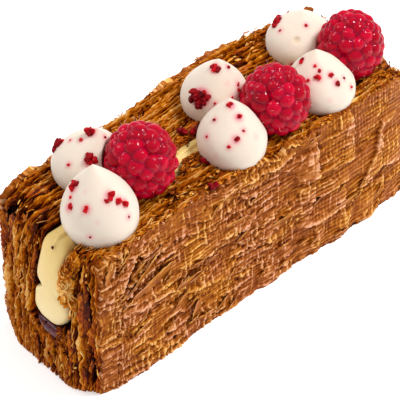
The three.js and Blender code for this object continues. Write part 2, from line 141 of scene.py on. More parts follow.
def noise(seed, *where):
    """Smooth noise from -1 to 1 at places with one to three coordinates."""
    where = np.broadcast_arrays(*[np.asarray(w, float) for w in where])
    cells = [np.floor(w).astype(np.int64) for w in where]
    shares = [smooth(w - c, 0, 1) for w, c in zip(where, cells)]
    flat = np.zeros_like(cells[0])
    total = np.zeros(where[0].shape)
    for corner in itertools.product((0, 1), repeat=len(where)):
        weight = np.ones(where[0].shape)
        for bit, share in zip(corner, shares):
            weight = weight * (share if bit else 1 - share)
        ids = [cell + bit for cell, bit in zip(cells, corner)] + [flat] * (3 - len(where))
        total += weight * cell_value(*ids, seed)
    return 2 * total - 1


# %% [markdown]
# ## Making meshes
# A leaf of pastry, a flake or a rope of cream is a row of rings of points with a skin through them. One
# helper lofts the rings into a closed body, and another joins many bodies into one mesh, which keeps the
# number of objects small.

# %% Mesh helpers
def facing_out(points, quads):
    """The same quads, turned over if the closed body they bound is inside out."""
    a, b, c, d = (points[quads[:, n]] for n in range(4))
    volume = np.einsum("ij,ij->", a, np.cross(b, c)) + np.einsum("ij,ij->", a, np.cross(c, d))
    return quads if volume > 0 else quads[:, ::-1]


def loft(rings):
    """A closed body through rings of points: (points, quads). Each ring has an even number of points."""
    count, around = rings.shape[:2]
    index = np.arange(count * around).reshape(count, around)
    after = np.roll(index, -1, axis=1)
    skin = np.stack([index[:-1], after[:-1], after[1:], index[1:]], axis=-1).reshape(-1, 4)
    k = np.arange(around // 2 - 1)
    cap = np.stack([k, k + 1, around - 2 - k, around - 1 - k], axis=-1)
    quads = np.vstack([skin, cap[:, ::-1], cap + (count - 1) * around])
    points = rings.reshape(-1, 3)
    return points, facing_out(points, quads)


def joined(bodies):
    """Many (points, faces) as one."""
    starts = np.cumsum([0] + [len(points) for points, _ in bodies[:-1]])
    points = np.vstack([points for points, _ in bodies])
    return points, np.vstack([faces + start for (_, faces), start in zip(bodies, starts)])


def add_piece(name, points, faces, crisp=False, **values):
    """A mesh object from points in mm, quads and triangles, and values at its points. Crisp: with hard edges."""
    lists = [faces] if isinstance(faces, np.ndarray) else faces
    mesh = bpy.data.meshes.new(name)
    mesh.vertices.add(len(points))
    mesh.vertices.foreach_set("co", ((points + FOOT_CENTRE) * MM).astype(np.float32).ravel())
    sizes = np.concatenate([np.full(len(part), part.shape[1]) for part in lists])
    corners = np.concatenate([part.ravel() for part in lists])
    mesh.loops.add(len(corners))
    mesh.loops.foreach_set("vertex_index", corners.astype(np.int32))
    mesh.polygons.add(len(sizes))
    mesh.polygons.foreach_set("loop_start", (np.cumsum(sizes) - sizes).astype(np.int32))
    mesh.polygons.foreach_set("use_smooth", np.full(len(sizes), not crisp))
    for label, value in values.items():
        stored = mesh.attributes.new(label, "FLOAT", "POINT")
        stored.data.foreach_set("value", np.asarray(value, np.float32).ravel())
    mesh.update(calc_edges=True)
    mesh.validate()
    piece = bpy.data.objects.new(name, mesh)
    bpy.context.scene.collection.objects.link(piece)
    print(name, "has", int(np.sum(sizes - 2)), "triangles")
    return piece


def unit(vectors):
    """The same directions, one long."""
    return vectors / np.linalg.norm(vectors, axis=-1, keepdims=True)


# %% [markdown]
# ## Shader helpers
# A material is easier to read as a sum than as a tree of nodes. `Wire` is one output of a node, and `+`,
# `-`, `*` on it add Math nodes. `Finish` holds one material and makes any other node from its type, its
# settings and its inputs.

# %% Wire and Finish
class Wire:
    """The output of a node, for use in an expression on values."""

    def __init__(self, finish, socket):
        self.finish = finish
        self.socket = socket

    def math(self, operation, first, second):
        return self.finish.node("Math", {"operation": operation}, {0: first, 1: second})

    def __add__(self, other):
        return self.math("ADD", self, other)

    def __sub__(self, other):
        return self.math("SUBTRACT", self, other)

    def __rsub__(self, other):
        return self.math("SUBTRACT", other, self)

    def __mul__(self, other):
        return self.math("MULTIPLY", self, other)

    __radd__ = __add__
    __rmul__ = __mul__


class Finish:
    """One material: a Principled shader with constants on its sockets and wires into the rest."""

    def __init__(self, name, **constants):
        self.material = bpy.data.materials.new(name)
        self.material.use_nodes = True
        self.tree = self.material.node_tree
        self.surface = self.tree.nodes["Principled BSDF"]
        self.set(**constants)

    def set(self, **sockets):
        """Sets or feeds sockets of the Principled shader, named with _ for a space."""
        for label, value in sockets.items():
            self.feed(self.surface.inputs[label.replace("_", " ")], value)

    def feed(self, socket, value):
        if isinstance(value, Wire):
            self.tree.links.new(value.socket, socket)
        else:
            socket.default_value = value

    def node(self, kind, settings=None, sockets=None, out=0):
        """Adds a node: its settings first, then its inputs' values or wires."""
        node = self.tree.nodes.new("ShaderNode" + kind)
        for label, value in (settings or {}).items():
            if label == "stops":
                self.set_stops(node.color_ramp, value)
            else:
                setattr(node, label, value)
        for key, value in (sockets or {}).items():
            self.feed(node.inputs[key], value)
        return Wire(self, node.outputs[out])

    def set_stops(self, ramp, stops):
        while len(ramp.elements) < len(stops):
            ramp.elements.new(1)
        for element, (position, colour) in zip(ramp.elements, stops):
            element.position = position
            element.color = colour

    def ramp(self, height, *stops):
        """A colour for a height, from stops of (position, colour code)."""
        settings = {"stops": [(position, tint(code)) for position, code in stops]}
        return self.node("ValToRGB", settings, {"Fac": height})

    def value(self, label):
        """A value stored at the mesh's points."""
        return self.node("Attribute", {"attribute_name": label}, out=2)

    def clamped(self, value):
        return self.node("Clamp", None, {0: value})

    def mix(self, share, first, second, blend="MIX"):
        """Two colours mixed by a share."""
        return self.node("Mix", {"data_type": "RGBA", "blend_type": blend}, {0: share, 6: first, 7: second}, 2)

    def place(self, scale=(1, 1, 1)):
        """The point's place in mm, stretched by a scale along each axis."""
        factors = [s / MM for s in scale]
        where = self.node("TexCoord", out=3)
        return self.node("VectorMath", {"operation": "MULTIPLY"}, {0: where, 1: factors})

    def grain(self, size, stretch=(1, 1, 1), detail=3, rough=0.6):
        """Noise from 0 to 1 whose lumps measure about `size` mm, longer along axes with a larger stretch."""
        where = self.place([1 / s for s in stretch])
        sockets = {"Vector": where, "Scale": 1 / size, "Detail": detail, "Roughness": rough}
        return self.node("TexNoise", {"noise_dimensions": "3D"}, sockets)

    def bump(self, height, depth, strength=1.0):
        """A normal from a height of 0 to 1 that stands for `depth` mm."""
        sockets = {"Strength": strength, "Distance": depth * MM, "Height": height}
        return self.node("Bump", None, sockets)


def tint(code):
    """A colour written as on screen, such as 'c98a4b', in Blender's linear values."""
    shares = [int(code[n : n + 2], 16) / 255 for n in (0, 2, 4)]
    return tuple(s / 12.92 if s <= 0.04045 else ((s + 0.055) / 1.055) ** 2.4 for s in shares) + (1.0,)


def dress(piece, finish, slot, *nodes):
    """Gives a piece its material, lets it ride on the slice and stand for its solids. Slot is not used."""
    piece.data.materials.append(finish.material)
    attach(piece, "root")
    if nodes:
        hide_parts(*nodes)
    return piece


# %% [markdown]
# ## The block's outline
# The baked block isn't a box: its ends spread towards the foot, its front swells in waves and its back
# bulges at the top. Everything made of pastry is laid out on a plain box first and then carried to its
# real place by one function, the same one that shapes the solid.

# %% Outline of the block
def bell(distance, half_width):
    """A bump of height 1."""
    return np.exp(-((distance / half_width) ** 2))


def settle(points):
    """Carries points of a plain box to where baking and cutting left them."""
    x, y, z = np.moveaxis(points, -1, 0)
    low = np.clip(1 - z / HEIGHT, 0, 1)
    corner_in = smooth(y, 9, 20) * np.where(x < 0, 3.2, 1.5)
    out = x / (LENGTH / 2) * (END_SPREAD * low**0.8 - corner_in * low)
    front_wave = 1.1 * np.sin((x - 2) / 17) * (1 - 0.7 * low)
    front_foot = (1.1 * bell(x + 40, 24) + 1.0 * bell(x - 34, 13)) * low
    back_swell = (2.5 * bell(x - 20, 24) - 0.7) * (1 - low)
    taper = -0.9 * smooth(np.abs(x), LENGTH / 2 - 8, LENGTH / 2)
    aside = y / (WIDTH / 2) * (np.where(y < 0, front_wave + front_foot, back_swell) + taper)
    front_drop = -2 * smooth(x, 47, 56) * smooth(-y, 4, 20)
    back_rise = 1.3 * bell(x - 20, 26) * smooth(y, 0, 16)
    up = (1 - low) * (front_drop + back_rise)
    inner = np.clip(1 - np.abs(y) / (WIDTH / 2), 0, 1)
    wander = inner * (0.9 * np.sin(x / 15 + z / 30) + 0.5 * noise(21, x / 9, z / 12))
    front_corner = smooth(-y, 11, 20) * smooth(-x, 42, LENGTH / 2) * (2.4 + 2.2 * low)
    return np.stack([x + out + front_corner, y + aside + wander, z + up], axis=-1)


# %% Outline of the slit
SLIT_FLOOR = 13.3
SLIT_ROUND = 7.0  # height of the rounded foot of its walls
SLIT_FLOOR_SHARE = 0.3  # width of its flat floor over its greatest width
SLIT_HALF = 6.7
SLIT_MOUTH_HALF = 4.8
SLIT_NARROWS = 0.5  # share of its height at which it starts to narrow
SLIT_FLOOR_SHIFT = -3.2  # it lies towards the front, its mouth more so than its floor
SLIT_MOUTH_SHIFT = -5.2
SLIT_BEND = (-50.0, -10.0)  # between these the mouth moves back towards the middle
SLIT_WANDER = 2.2


def slit_middle(x, z):
    """Where the slit's middle lies across the block."""
    rise = np.clip((z - SLIT_FLOOR) / (HEIGHT - SLIT_FLOOR), 0, 1.2)
    wander = SLIT_WANDER * np.clip((x - SLIT_BEND[0]) / (SLIT_BEND[1] - SLIT_BEND[0]), 0, 1)
    return SLIT_FLOOR_SHIFT + (SLIT_MOUTH_SHIFT - SLIT_FLOOR_SHIFT + wander) * rise


def slit_half(z):
    """Half the slit's width at a height, with a rounded floor. Nothing below the floor."""
    rise = (z - SLIT_FLOOR) / (HEIGHT - SLIT_FLOOR)
    foot = np.clip((z - SLIT_FLOOR) / SLIT_ROUND, 0, 1)
    rounded = SLIT_FLOOR_SHARE + (1 - SLIT_FLOOR_SHARE) * np.sqrt(1 - (1 - foot) ** 2)
    half = SLIT_HALF + (SLIT_MOUTH_HALF - SLIT_HALF) * smooth(rise, SLIT_NARROWS, 1)
    return np.where(z > SLIT_FLOOR, half * rounded, 0)


# %% [markdown]
# ## The core of the block
# Between the leaves the eye looks a millimetre or two into the dark. A plain core stands behind them, drawn
# in a little from the real surface, so that the gaps between leaves have a floor. It is a U in section,
# because the slit runs through it. Its near-black brown colour is painted shade for the depth of the gaps.

# %% Core
CORE_SIDE = 2.4  # how far the core stays behind the long faces
CORE_TOP = 4.2
CORE_END = 5.2
CORE_STEPS = 60
WALL_STEPS = 14


def core_ring(x):
    """The U-shaped section of the core: round its outside, then back along the slit's walls."""
    top = HEIGHT - CORE_TOP
    edge = WIDTH / 2 - CORE_SIDE
    heights = np.linspace(top, 0, WALL_STEPS)
    floor = np.linspace(-edge, edge, WALL_STEPS)
    left = np.stack([np.full(WALL_STEPS, -edge), heights], axis=-1)
    right = np.stack([np.full(WALL_STEPS, edge), heights[::-1]], axis=-1)
    base = np.stack([floor, np.zeros(WALL_STEPS)], axis=-1)[1:-1]
    outside = np.vstack([left, base, right])
    walls = np.linspace(top, SLIT_FLOOR, len(outside) // 2)
    middle = slit_middle(x, walls)
    half = slit_half(walls) + 0.15
    back_wall = np.stack([middle + half, walls], axis=-1)
    front_wall = np.stack([middle - half, walls], axis=-1)[::-1]
    return outside, np.vstack([back_wall, front_wall])


def core_body():
    stations = np.linspace(-LENGTH / 2 + CORE_END, LENGTH / 2 - CORE_END, CORE_STEPS)
    rings = []
    for x in stations:
        outside, inside = core_ring(x)
        outer = settle(np.column_stack([np.full(len(outside), x), outside]))
        inner = np.column_stack([np.full(len(inside), outer[:, 0].mean()), inside])
        rings.append(np.vstack([outer, inner]))
    return loft(np.array(rings))


core = add_piece("pastry_core", *core_body())

# %% [markdown]
# ## The leaves
# Puff pastry is hundreds of thin leaves. Where the block is cut, on its ends and its top, their edges show:
# they stand in bundles of different heights with dark gaps between, they are ragged, and some have broken
# away or fallen over sideways. Each leaf is a thin band that follows the outline of the block from the near
# foot up, over the top and down to the far foot. Only its outer few millimetres are made. Long waves of
# noise that neighbours share make the bundles, short ones of its own make it ragged, and whatever lies in
# the slit is left away.

# %% The path of a leaf's edge
CORNER = 2.2  # rounding of the block's top corners
EDGE_STEP = 0.52


def edge_path():
    """Points along a leaf's edge, the way out at each, and the distance along it."""
    radius = CORNER
    up = np.arange(0, HEIGHT - radius, EDGE_STEP)
    across = np.arange(-LENGTH / 2 + radius, LENGTH / 2 - radius, EDGE_STEP)
    turn = np.linspace(math.pi, math.pi / 2, 8)[:-1]
    near = np.column_stack([np.full_like(up, -LENGTH / 2), up, np.full_like(up, -1), 0 * up])
    near_turn = np.column_stack([
        -LENGTH / 2 + radius + radius * np.cos(turn),
        HEIGHT - radius + radius * np.sin(turn),
        np.cos(turn),
        np.sin(turn),
    ])
    top = np.column_stack([across, np.full_like(across, HEIGHT), 0 * across, np.full_like(across, 1)])
    half = np.vstack([near, near_turn])
    far = half[::-1] * [-1, 1, -1, 1]
    path = np.vstack([half, top, far])
    steps = np.hypot(*np.diff(path[:, :2], axis=0).T)
    return path, np.concatenate([[0], np.cumsum(steps)])


edge_places, edge_along = edge_path()
CORNERS_ALONG = (HEIGHT - 0.2 * CORNER, edge_along[-1] - HEIGHT + 0.2 * CORNER)
print("a leaf's edge is", round(edge_along[-1], 1), "mm long, with", len(edge_along), "steps")


def on_edge(s, out):
    """The place in the block's box at a distance along a leaf's edge, `out` mm outside it: (x, z)."""
    x, z, out_x, out_z = (np.interp(s, edge_along, edge_places[:, n]) for n in range(4))
    return x + out_x * out, np.maximum(z + out_z * out, 0.05)


# %% Leaf bands
LEAF_ROWS = np.array([5.4, 1.0, 0.0])  # depths of its points below its edge
LEAF_SWELL = np.array([0.55, 0.5, 0.2])  # half its thickness there, over its thickness
LEAF_LIMIT = WIDTH / 2 - 1.45  # the outermost leaves stay behind the long faces
RING_DEPTH = np.concatenate([LEAF_ROWS, LEAF_ROWS[::-1]])
RING_HALF = np.concatenate([-LEAF_SWELL, LEAF_SWELL[::-1]])
# painted shade and highlight: a leaf's colour darkens the deeper it lies below its edge, darkest at DEEPEST, and is
# palest where its edge stands HIGHEST out.
DEEPEST = 2.4  # depth at which a leaf's side is as dark as it gets
HIGHEST = 1.3  # how far out a leaf's edge is as bright as it gets


def leaf_edge(number, y):
    """How far a leaf's edge stands out of the plain outline, all along it."""
    at_end = edge_places[:, 2] ** 2
    s = edge_along
    slab = smooth(-y, 11, 13)
    bundle = (0.45 + 0.5 * at_end) * noise(101, s / 21, y / (0.85 + 0.6 * at_end * (1 - slab)))
    bundle += 0.35 * noise(107, s / 7, y / 1.1)
    own = (0.45 + 0.3 * slab) * noise(102, s / 6, number * 7.3) - 0.5 * slab * at_end
    ragged = 0.3 * noise(103, s / 2.1, number * 5.1) + 0.3 * noise(108, s / 0.95, number * 3.3)
    broken = smooth(noise(104, s / 7, number * 3.7), 0.22, 0.36) * (1.2 + 0.7 * noise(106, s / 2.2, number * 1.7))
    worn = (0.4 + 1.3 * smooth(y, -4, 8)) * sum(bell(s - corner, 3.6) for corner in CORNERS_ALONG)
    edge = 0.5 + bundle + own + ragged - broken - worn
    return edge * smooth(edge_places[:, 1], -1, 6) + 0.1


def leaf_points(number, y, thickness):
    """Rings of points along one leaf, in the block's real place, and how far out each point is."""
    s = edge_along[:, None]
    edge = leaf_edge(number, y)[:, None]
    depth = RING_DEPTH[None, :] - edge
    loose = np.clip(1 - RING_DEPTH / 5.4, 0, 1)[None, :]
    tip = np.clip(1 - RING_DEPTH / 1.6, 0, 1)[None, :]
    sway = (0.35 + 0.65 * edge_places[:, 2:3] ** 2) * (0.2 + 0.8 * smooth(edge_places[:, 1:2], 0, 9))
    bunch = 0.6 * noise(111, s / 18, y / 3.1)
    lean = loose * sway * (0.7 * noise(112, s / 16, y / 2.2) + 0.35 * noise(116, s / 7, number * 2.3))
    fall = noise(115, s / 7, number * 2.9)
    fallen = 1.3 * sway * tip * np.sign(fall) * smooth(np.abs(fall), 0.35, 0.7)
    curl = 0.16 * tip * noise(113, s / 1.3, number * 4.9)
    fat = thickness * (1 + 0.4 * noise(114, s / 5, number * 6.1))
    fat = fat * (1 + 1.4 * (1 - smooth(edge_places[:, 1:2], 0, 5)))
    across = np.clip(y + bunch + lean + fallen + curl, -LEAF_LIMIT, LEAF_LIMIT) + RING_HALF[None, :] * fat
    x = edge_places[:, 0:1] - edge_places[:, 2:3] * depth
    z = np.maximum(edge_places[:, 1:2] - edge_places[:, 3:4] * depth, 0)
    # painted shade: the deeper a point lies below the leaf's edge, the lower this value and the darker the finish
    # paints it.
    outness = np.clip((DEEPEST - depth) / (DEEPEST + HIGHEST), 0, 1)
    return settle(np.stack([x, across, z], axis=-1)), outness


def clear_of_slit(rings):
    """Which rings lie outside the slit, and the rings with their points pushed out of it."""
    x, y, z = np.moveaxis(rings, -1, 0)
    from_middle = y - slit_middle(x, z)
    half = slit_half(z) + 0.1
    outside = np.abs(from_middle[:, 1]) > half[:, 1]
    side = np.sign(from_middle[:, 2:3])
    pushed = np.where(from_middle * side < half, slit_middle(x, z) + side * half, y)
    moved = np.stack([x, pushed, z], axis=-1)
    return outside, moved


def runs_of(kept):
    """The stretches of True in a row, as (start, stop)."""
    marks = np.flatnonzero(np.diff(np.concatenate([[0], kept.astype(int), [0]])))
    return [(a, b) for a, b in zip(marks[::2], marks[1::2]) if b - a > 2]


def leaf_places():
    """Where the leaves lie across the block: close together at the long faces, wider apart inside."""
    places = []
    y = -LEAF_LIMIT
    while y < LEAF_LIMIT:
        places.append(y)
        inner = smooth(WIDTH / 2 - abs(y), 0.5, 5)
        y += (0.5 + 0.22 * inner) * rng.uniform(0.6, 1.4)
    return places


def make_leaves():
    """Every leaf in two heaps, each (bodies, values at their points)."""
    heaps = {"front": [], "back": []}
    notes = {"front": [], "back": []}
    for number, y in enumerate(leaf_places()):
        points, outness = leaf_points(number, y, rng.uniform(0.2, 0.5))
        outside, rings = clear_of_slit(points)
        side = "front" if y < -2 else "back"
        for start, stop in runs_of(outside):
            heaps[side].append(loft(rings[start:stop]))
            s = edge_along[start:stop, None]
            tone = 0.5 + 0.5 * noise(121, s / 9, number * 3.1) + 0 * outness[start:stop]
            notes[side].append(np.stack([outness[start:stop].ravel(), tone.ravel()]))
    return heaps, notes


leaf_heaps, leaf_notes = make_leaves()
leaf_pieces = []
for side, bodies in leaf_heaps.items():
    outness, tone = np.hstack(leaf_notes[side])
    leaf_pieces.append(add_piece("pastry_leaves_" + side, *joined(bodies), crisp=True, out=outness, tone=tone))

# %% [markdown]
# ## Loose leaves
# At the ends and along the top some leaves have come away and lie over the others with their flat side
# showing. Each is a thin sheet along the same path as the edges, broad in the middle and ragged at its
# borders, tilted so that one border stands out and the other is tucked in.

# %% Broad leaves on the cut faces
BROAD_ROWS = 15
BROAD_COLUMNS = 5
BROAD_THICK = 0.22
# middle along the edge path, place across, length, width, slant, tilt in degrees, how far it stands out
BROAD_LEAVES = [
    (38.0, 12.5, 15.0, 4.2, -0.1, 34, 0.0),
    (33.0, 8.4, 15.0, 3.6, -0.2, 38, 0.0),
    (46.0, 5.2, 12.0, 2.6, 0.05, 40, 0.0),
    (24.0, 13.6, 17.0, 3.4, 0.12, 42, 0.0),
    (30.0, 4.8, 12.0, 2.2, -0.1, 48, 0.0),
    (12.0, 9.0, 16.0, 3.2, 0.2, 40, 0.0),
    (10.0, 3.0, 14.0, 2.6, 0.15, 45, 0.0),
    (9.0, -4.5, 13.0, 2.4, 0.05, 45, 0.0),
    (12.0, -9.5, 15.0, 1.8, 0.08, 50, 0.0),
    (37.0, 16.6, 14.0, 3.0, -0.08, 40, 0.0),
    (60.0, 12.0, 20.0, 2.0, 0.0, 42, 0.0),
    (66.0, 17.0, 22.0, 2.2, 0.0, 45, 0.0),
    (29.0, -15.5, 16.0, 2.6, 0.0, 40, 0.8),
    (18.0, -12.6, 9.0, 1.8, 0.12, 40, 0.6),
    (92.0, -1.2, 13.0, 2.4, 0.0, 12, 0.3),
    (96.0, 1.0, 11.0, 2.2, 0.05, 20, 0.4),
    (91.0, -9.2, 12.0, 2.2, 0.02, 14, 0.3),
]


def broad_leaf(s, y, length, width, slant, tilt, stand, seed):
    """A loose leaf that lies on a cut face: its body, and values at its points."""
    u, v = np.meshgrid(np.linspace(-1, 1, BROAD_ROWS), np.linspace(-1, 1, BROAD_COLUMNS), indexing="ij")
    taper = 0.06 + 0.94 * np.sqrt(np.clip(1 - np.abs(u) ** 2.6, 0, 1))
    ragged = 1 + 0.3 * noise(seed, u * 4.5, v * 0.7)
    half = width / 2 * taper
    along = s + length / 2 * u + 0.2 * noise(seed + 3, v * 2, u * 5)
    across = y + slant * length / 2 * u + half * v * ragged * math.cos(tilt) + 0.35 * noise(seed + 1, u * 1.3)
    crumple = 0.3 * noise(seed + 2, u * 2.5, v) + 0.16 * width / 2 * noise(seed + 6, u * length / 1.3, v * 1.5)
    out = 0.75 + stand + half * (v * ragged - 1) * math.sin(tilt) + crumple
    top_sheet = np.stack([*on_edge(along, out), across], axis=-1)[..., [0, 2, 1]]
    under_sheet = np.stack([*on_edge(along, out - BROAD_THICK), across], axis=-1)[..., [0, 2, 1]]
    rings = settle(np.concatenate([top_sheet, under_sheet[:, ::-1]], axis=1))
    # painted shade and highlight: the border that stands out is stored paler and the tucked-in border darker.
    outness = np.clip(0.52 + 0.22 * v + 0.12 * noise(seed + 4, u * 5, v * 2), 0, 1)
    tone = 0.35 + 0.3 * noise(seed + 5, u * 2) + 0 * v
    values = [np.concatenate([value, value[:, ::-1]], axis=1).ravel() for value in (outness, tone)]
    return loft(rings), values


def in_slit(s, y):
    """Whether a place on the cut faces lies over the slit."""
    x, z = on_edge(s, 0)
    return abs(y - slit_middle(x, z)) < slit_half(z) + 0.9


def make_broad_leaves():
    placed = list(BROAD_LEAVES)
    while len(placed) < 150:
        s, y = rng.uniform(4, edge_along[-1] - 4), rng.uniform(-17.5, 17.5)
        on_top = HEIGHT < s < edge_along[-1] - HEIGHT
        size = rng.uniform(3, 10), rng.uniform(0.5, 1.0) if on_top or y < -11 else rng.uniform(0.8, 2.4)
        turns = rng.normal(0, 0.06), rng.uniform(30, 60)
        if not in_slit(s, y):
            placed.append((s, y, *size, *turns, 0.0))
    made = []
    for number, (*shape, tilt, stand) in enumerate(placed):
        made.append(broad_leaf(*shape, math.radians(tilt), stand, 1300 + 9 * number))
    values = np.hstack([np.stack(values) for _, values in made])
    return [body for body, _ in made], values


broad_bodies, (broad_out, broad_tone) = make_broad_leaves()
broad_leaves = add_piece("pastry_loose_leaves", *joined(broad_bodies), crisp=True, out=broad_out, tone=broad_tone)

# %% [markdown]
# ## The long faces
# The long faces were the top and bottom of the sheet while it baked, pressed against a mesh mat. They carry
# its imprint: a fine wavy net. The outermost leaves tore in places, so the face steps down from sheet to
# sheet, it split into plates as it cooled, and it folded near its foot. A dense grid of points with a height
# at each gives all of it as real relief. Its border turns inwards, and a fan closes it behind.

# %% Torn sheets
SHEET_RISES = (0.3, 0.25, 0.25)  # how far each torn sheet stands above the one under it
SHEET_COVERS = (0.5, 0.1, -0.3)  # the larger, the more of the face it still covers
SHEET_LIP = 0.18  # a sheet's torn border curls out this far
BORDER = 0.14  # half the width of the step at a torn border
SHEET_SLOPE = 0.6  # the sheets' borders climb along the near half of the face

# centre x and z, length, width, turn in degrees, rise: sheets that stand out, and hollows torn in the face
FACE_SHEETS = [
    (-51.0, 41.5, 15.0, 17.0, 40, 0.35),
    (-44.0, 35.4, 12.0, 2.6, 50, -1.3),
    (-36.6, 34.8, 10.0, 1.6, 27, -1.2),
    (-28.0, 17.4, 8.0, 3.0, -22, -0.6),
    (-47.5, 22.0, 9.0, 1.3, 50, -0.6),
]

# rise, reach, and the points (x, z) along a torn lower border: the sheet lies above it
LEVEL_BORDERS = [
    (1.0, 9.0, [(15, 13.6), (26.7, 12.2), (37.6, 12.3), (39.8, 14.7), (42, 17), (46, 17.7), (54.2, 14.5)]),
    (0.75, 6.0, [(14.3, 32.4), (22, 30.5), (26.7, 29.7), (34.2, 28.7)]),
    (0.7, 5.0, [(14.7, 24), (22.6, 21.6), (32.4, 22.1)]),
    (0.5, 4.0, [(-22, 27.6), (-17.1, 25.6), (-13.1, 25.7), (-10.2, 25.8)]),
    (0.6, 5.0, [(-20.6, 15.7), (-15.7, 14.3), (-7.8, 13), (-4.1, 13.3), (2.7, 13.6), (4.9, 14)]),
    (0.45, 3.0, [(-9, 19.7), (-4.2, 19.4)]),
    (0.5, 4.0, [(-7.7, 27.4), (-1.8, 25.8), (2.3, 24.1), (4.9, 24)]),
    (0.5, 3.0, [(-14, 42.5), (-8.8, 43.6), (-2, 42.2), (1.5, 43.5), (8, 42)]),
]
# the same for upright borders, with the points (z, x), a side, and the sheet on that side of it
UPRIGHT_BORDERS = [
    (0.8, 7.0, [(14.9, 37.2), (26, 42.8), (29.1, 43.9), (35.2, 45.9)], 1),
    (0.75, 5.0, [(29.3, 20.9), (40.3, 20.6), (47, 19.5)], -1),
    (0.65, 5.0, [(28.9, 34.6), (46, 33.2)], -1),
    (0.6, 4.0, [(6.1, 47.1), (13.9, 47.2)], -1),
    (0.6, 4.0, [(2, 33), (11, 31.5)], -1),
    (0.5, 4.0, [(2, 22), (12, 20.5)], 1),
]


def bordered(inside, rise, lip):
    """The height of a sheet from the distance within its torn border."""
    return rise * smooth(inside, -BORDER, BORDER) + lip * (inside > 0) * np.exp(-np.maximum(inside, 0) / 0.5)


def border_distance(field, step):
    """How far within the border at 0 of a field each place lies, in mm."""
    slope = np.hypot(*np.gradient(field, step))
    return field / np.maximum(slope, 0.06)


def fine_tears(seed, x, z):
    """The raggedness of a torn border."""
    near = 1 - 0.6 * smooth(x, -10, 15)
    return near * (0.2 * noise(seed, x / 1.7, z / 1.5) + 0.09 * noise(seed + 1, x / 0.7, z / 0.7))


def torn_border(along, across, rise, reach, points, side, seed):
    """A sheet that ends at a named border and thins out away from it."""
    start, stop = points[0][0], points[-1][0]
    line = np.interp(along, *zip(*points)) + 0.5 * noise(seed, along / 2.3) + 0.25 * noise(seed + 1, along / 0.8)
    within = side * (across - line)
    fade = smooth(along, start - 1.5, start + 1.5) * (1 - smooth(along, stop - 1.5, stop + 1.5))
    thinning = np.exp(-np.maximum(within, 0) / reach)
    return fade * (bordered(within, rise, SHEET_LIP) * thinning)


def torn_sheets(x, z, step, named, seed):
    """The height of the torn sheets at each place, and the number of sheets left there."""
    climb = np.cumsum(SHEET_SLOPE * (1 - smooth(x, -34, -4)), axis=0) * step
    along = x + 2.5 * noise(seed, x / 9, z / 9)
    across = z - climb + 1.6 * noise(seed + 1, x / 7, z / 7)
    height = np.zeros(x.shape)
    count = np.zeros(x.shape)
    for number, (rise, cover) in enumerate(zip(SHEET_RISES, SHEET_COVERS)):
        key = seed + 10 * number
        field = noise(key + 2, along / 19, across / 7.5) + 0.3 * noise(key + 3, x / 6, z / 4) + cover
        inside = border_distance(field + fine_tears(key + 4, x, z), step)
        height += bordered(inside, rise, SHEET_LIP * (0.6 + 0.6 * noise(key + 6, x / 4, z / 4)))
        count += inside > 0
    for number, (middle_x, middle_z, length, width, turn, rise) in enumerate(named):
        angle = math.radians(turn)
        u = ((x - middle_x) * math.cos(angle) + (z - middle_z) * math.sin(angle)) / (length / 2)
        v = ((z - middle_z) * math.cos(angle) - (x - middle_x) * math.sin(angle)) / (width / 2)
        field = 1 - (u**4 + v**4) ** 0.25 + (fine_tears(seed + 60 + number, x, z) * 4 / width)
        inside = border_distance(field, step)
        height += bordered(inside, rise, SHEET_LIP if rise > 0 else 0)
        count += np.sign(rise) * (inside > 0)
    for number, (rise, reach, points) in enumerate(LEVEL_BORDERS):
        height += torn_border(x, z, rise, reach, points, 1, seed + 110 + number)
    for number, (rise, reach, points, sheet_side) in enumerate(UPRIGHT_BORDERS):
        height += torn_border(z, x, rise, reach, points, sheet_side, seed + 130 + number)
    return height, count


# %% Plates, net and folds
MAT_PITCHES = (1.15, 1.5)  # threads of the mesh mat, at the near and the far half
NET_DEPTH = 0.17
SHINGLE_PITCH = 2.9  # height of the small sheets that overlap downwards
SHINGLE_RISE = 0.42
CREASE_PITCH = 2.1
CREASE_RISE = 0.46
WRINKLE_RISE = 0.32
PLATE = (12.9, 10.5)  # length and height of the plates between the cracks
PLATE_EDGE = 20.0  # where one upright crack lies


def plates(x, z, seed):
    """A number from 0 to 1 for the plate at each place, and the plate's tilt there."""
    row = np.floor((z + 1.2 * noise(seed, x / 7, z / 9) + 2.5 * noise(seed + 1, x / 30)) / PLATE[1])
    shift = 0.3 * PLATE[0] * (cell_value(row.astype(int), 0, 0, seed) - 0.5) * (row < 3)
    wavy = 0.7 * noise(seed + 2, z / 3, x / 9) + 0.3 * noise(seed + 3, z / 0.9)
    column = (x - PLATE_EDGE + shift + wavy) / PLATE[0]
    number = cell_value(np.floor(column).astype(int), row.astype(int), 1, seed)
    return number, column - np.floor(column) - 0.5


def mat_imprint(x, z, plate, seed):
    """The net that the mat pressed into the face, coarser on its far half, from about -1 to 1."""
    far = smooth(x, -5, 25)
    drift = 0.65 - 0.4 * far
    u = x + drift * noise(seed, x / 2.6, z / 3.4) + 3 * plate
    v = z + drift * noise(seed + 1, x / 3.4, z / 2.6) + 5 * plate
    fine, broad = (np.cos(2 * math.pi * v / pitch) for pitch in MAT_PITCHES)
    level = (1 - far) * fine + far * broad
    upright = np.cos(2 * math.pi * u / MAT_PITCHES[0])
    share = 0.36 - 0.1 * far + 0.3 * noise(seed + 2, x / 11, z / 9)
    clear = 0.75 + 0.45 * noise(seed + 4, x / 8, z / 7)
    return clear * (share * upright + (1 - share) * level)


def shingle_border(row, x, seed):
    """The height of a row's torn lower border, in pitches."""
    wavy = 0.3 * noise(seed, x / 6, row * 5.3) + 0.28 * noise(seed + 1, x / 1.9, row * 3.7)
    return row + np.clip(wavy + 0.12 * noise(seed + 2, x / 0.7, row * 2.9), -0.46, 0.46)


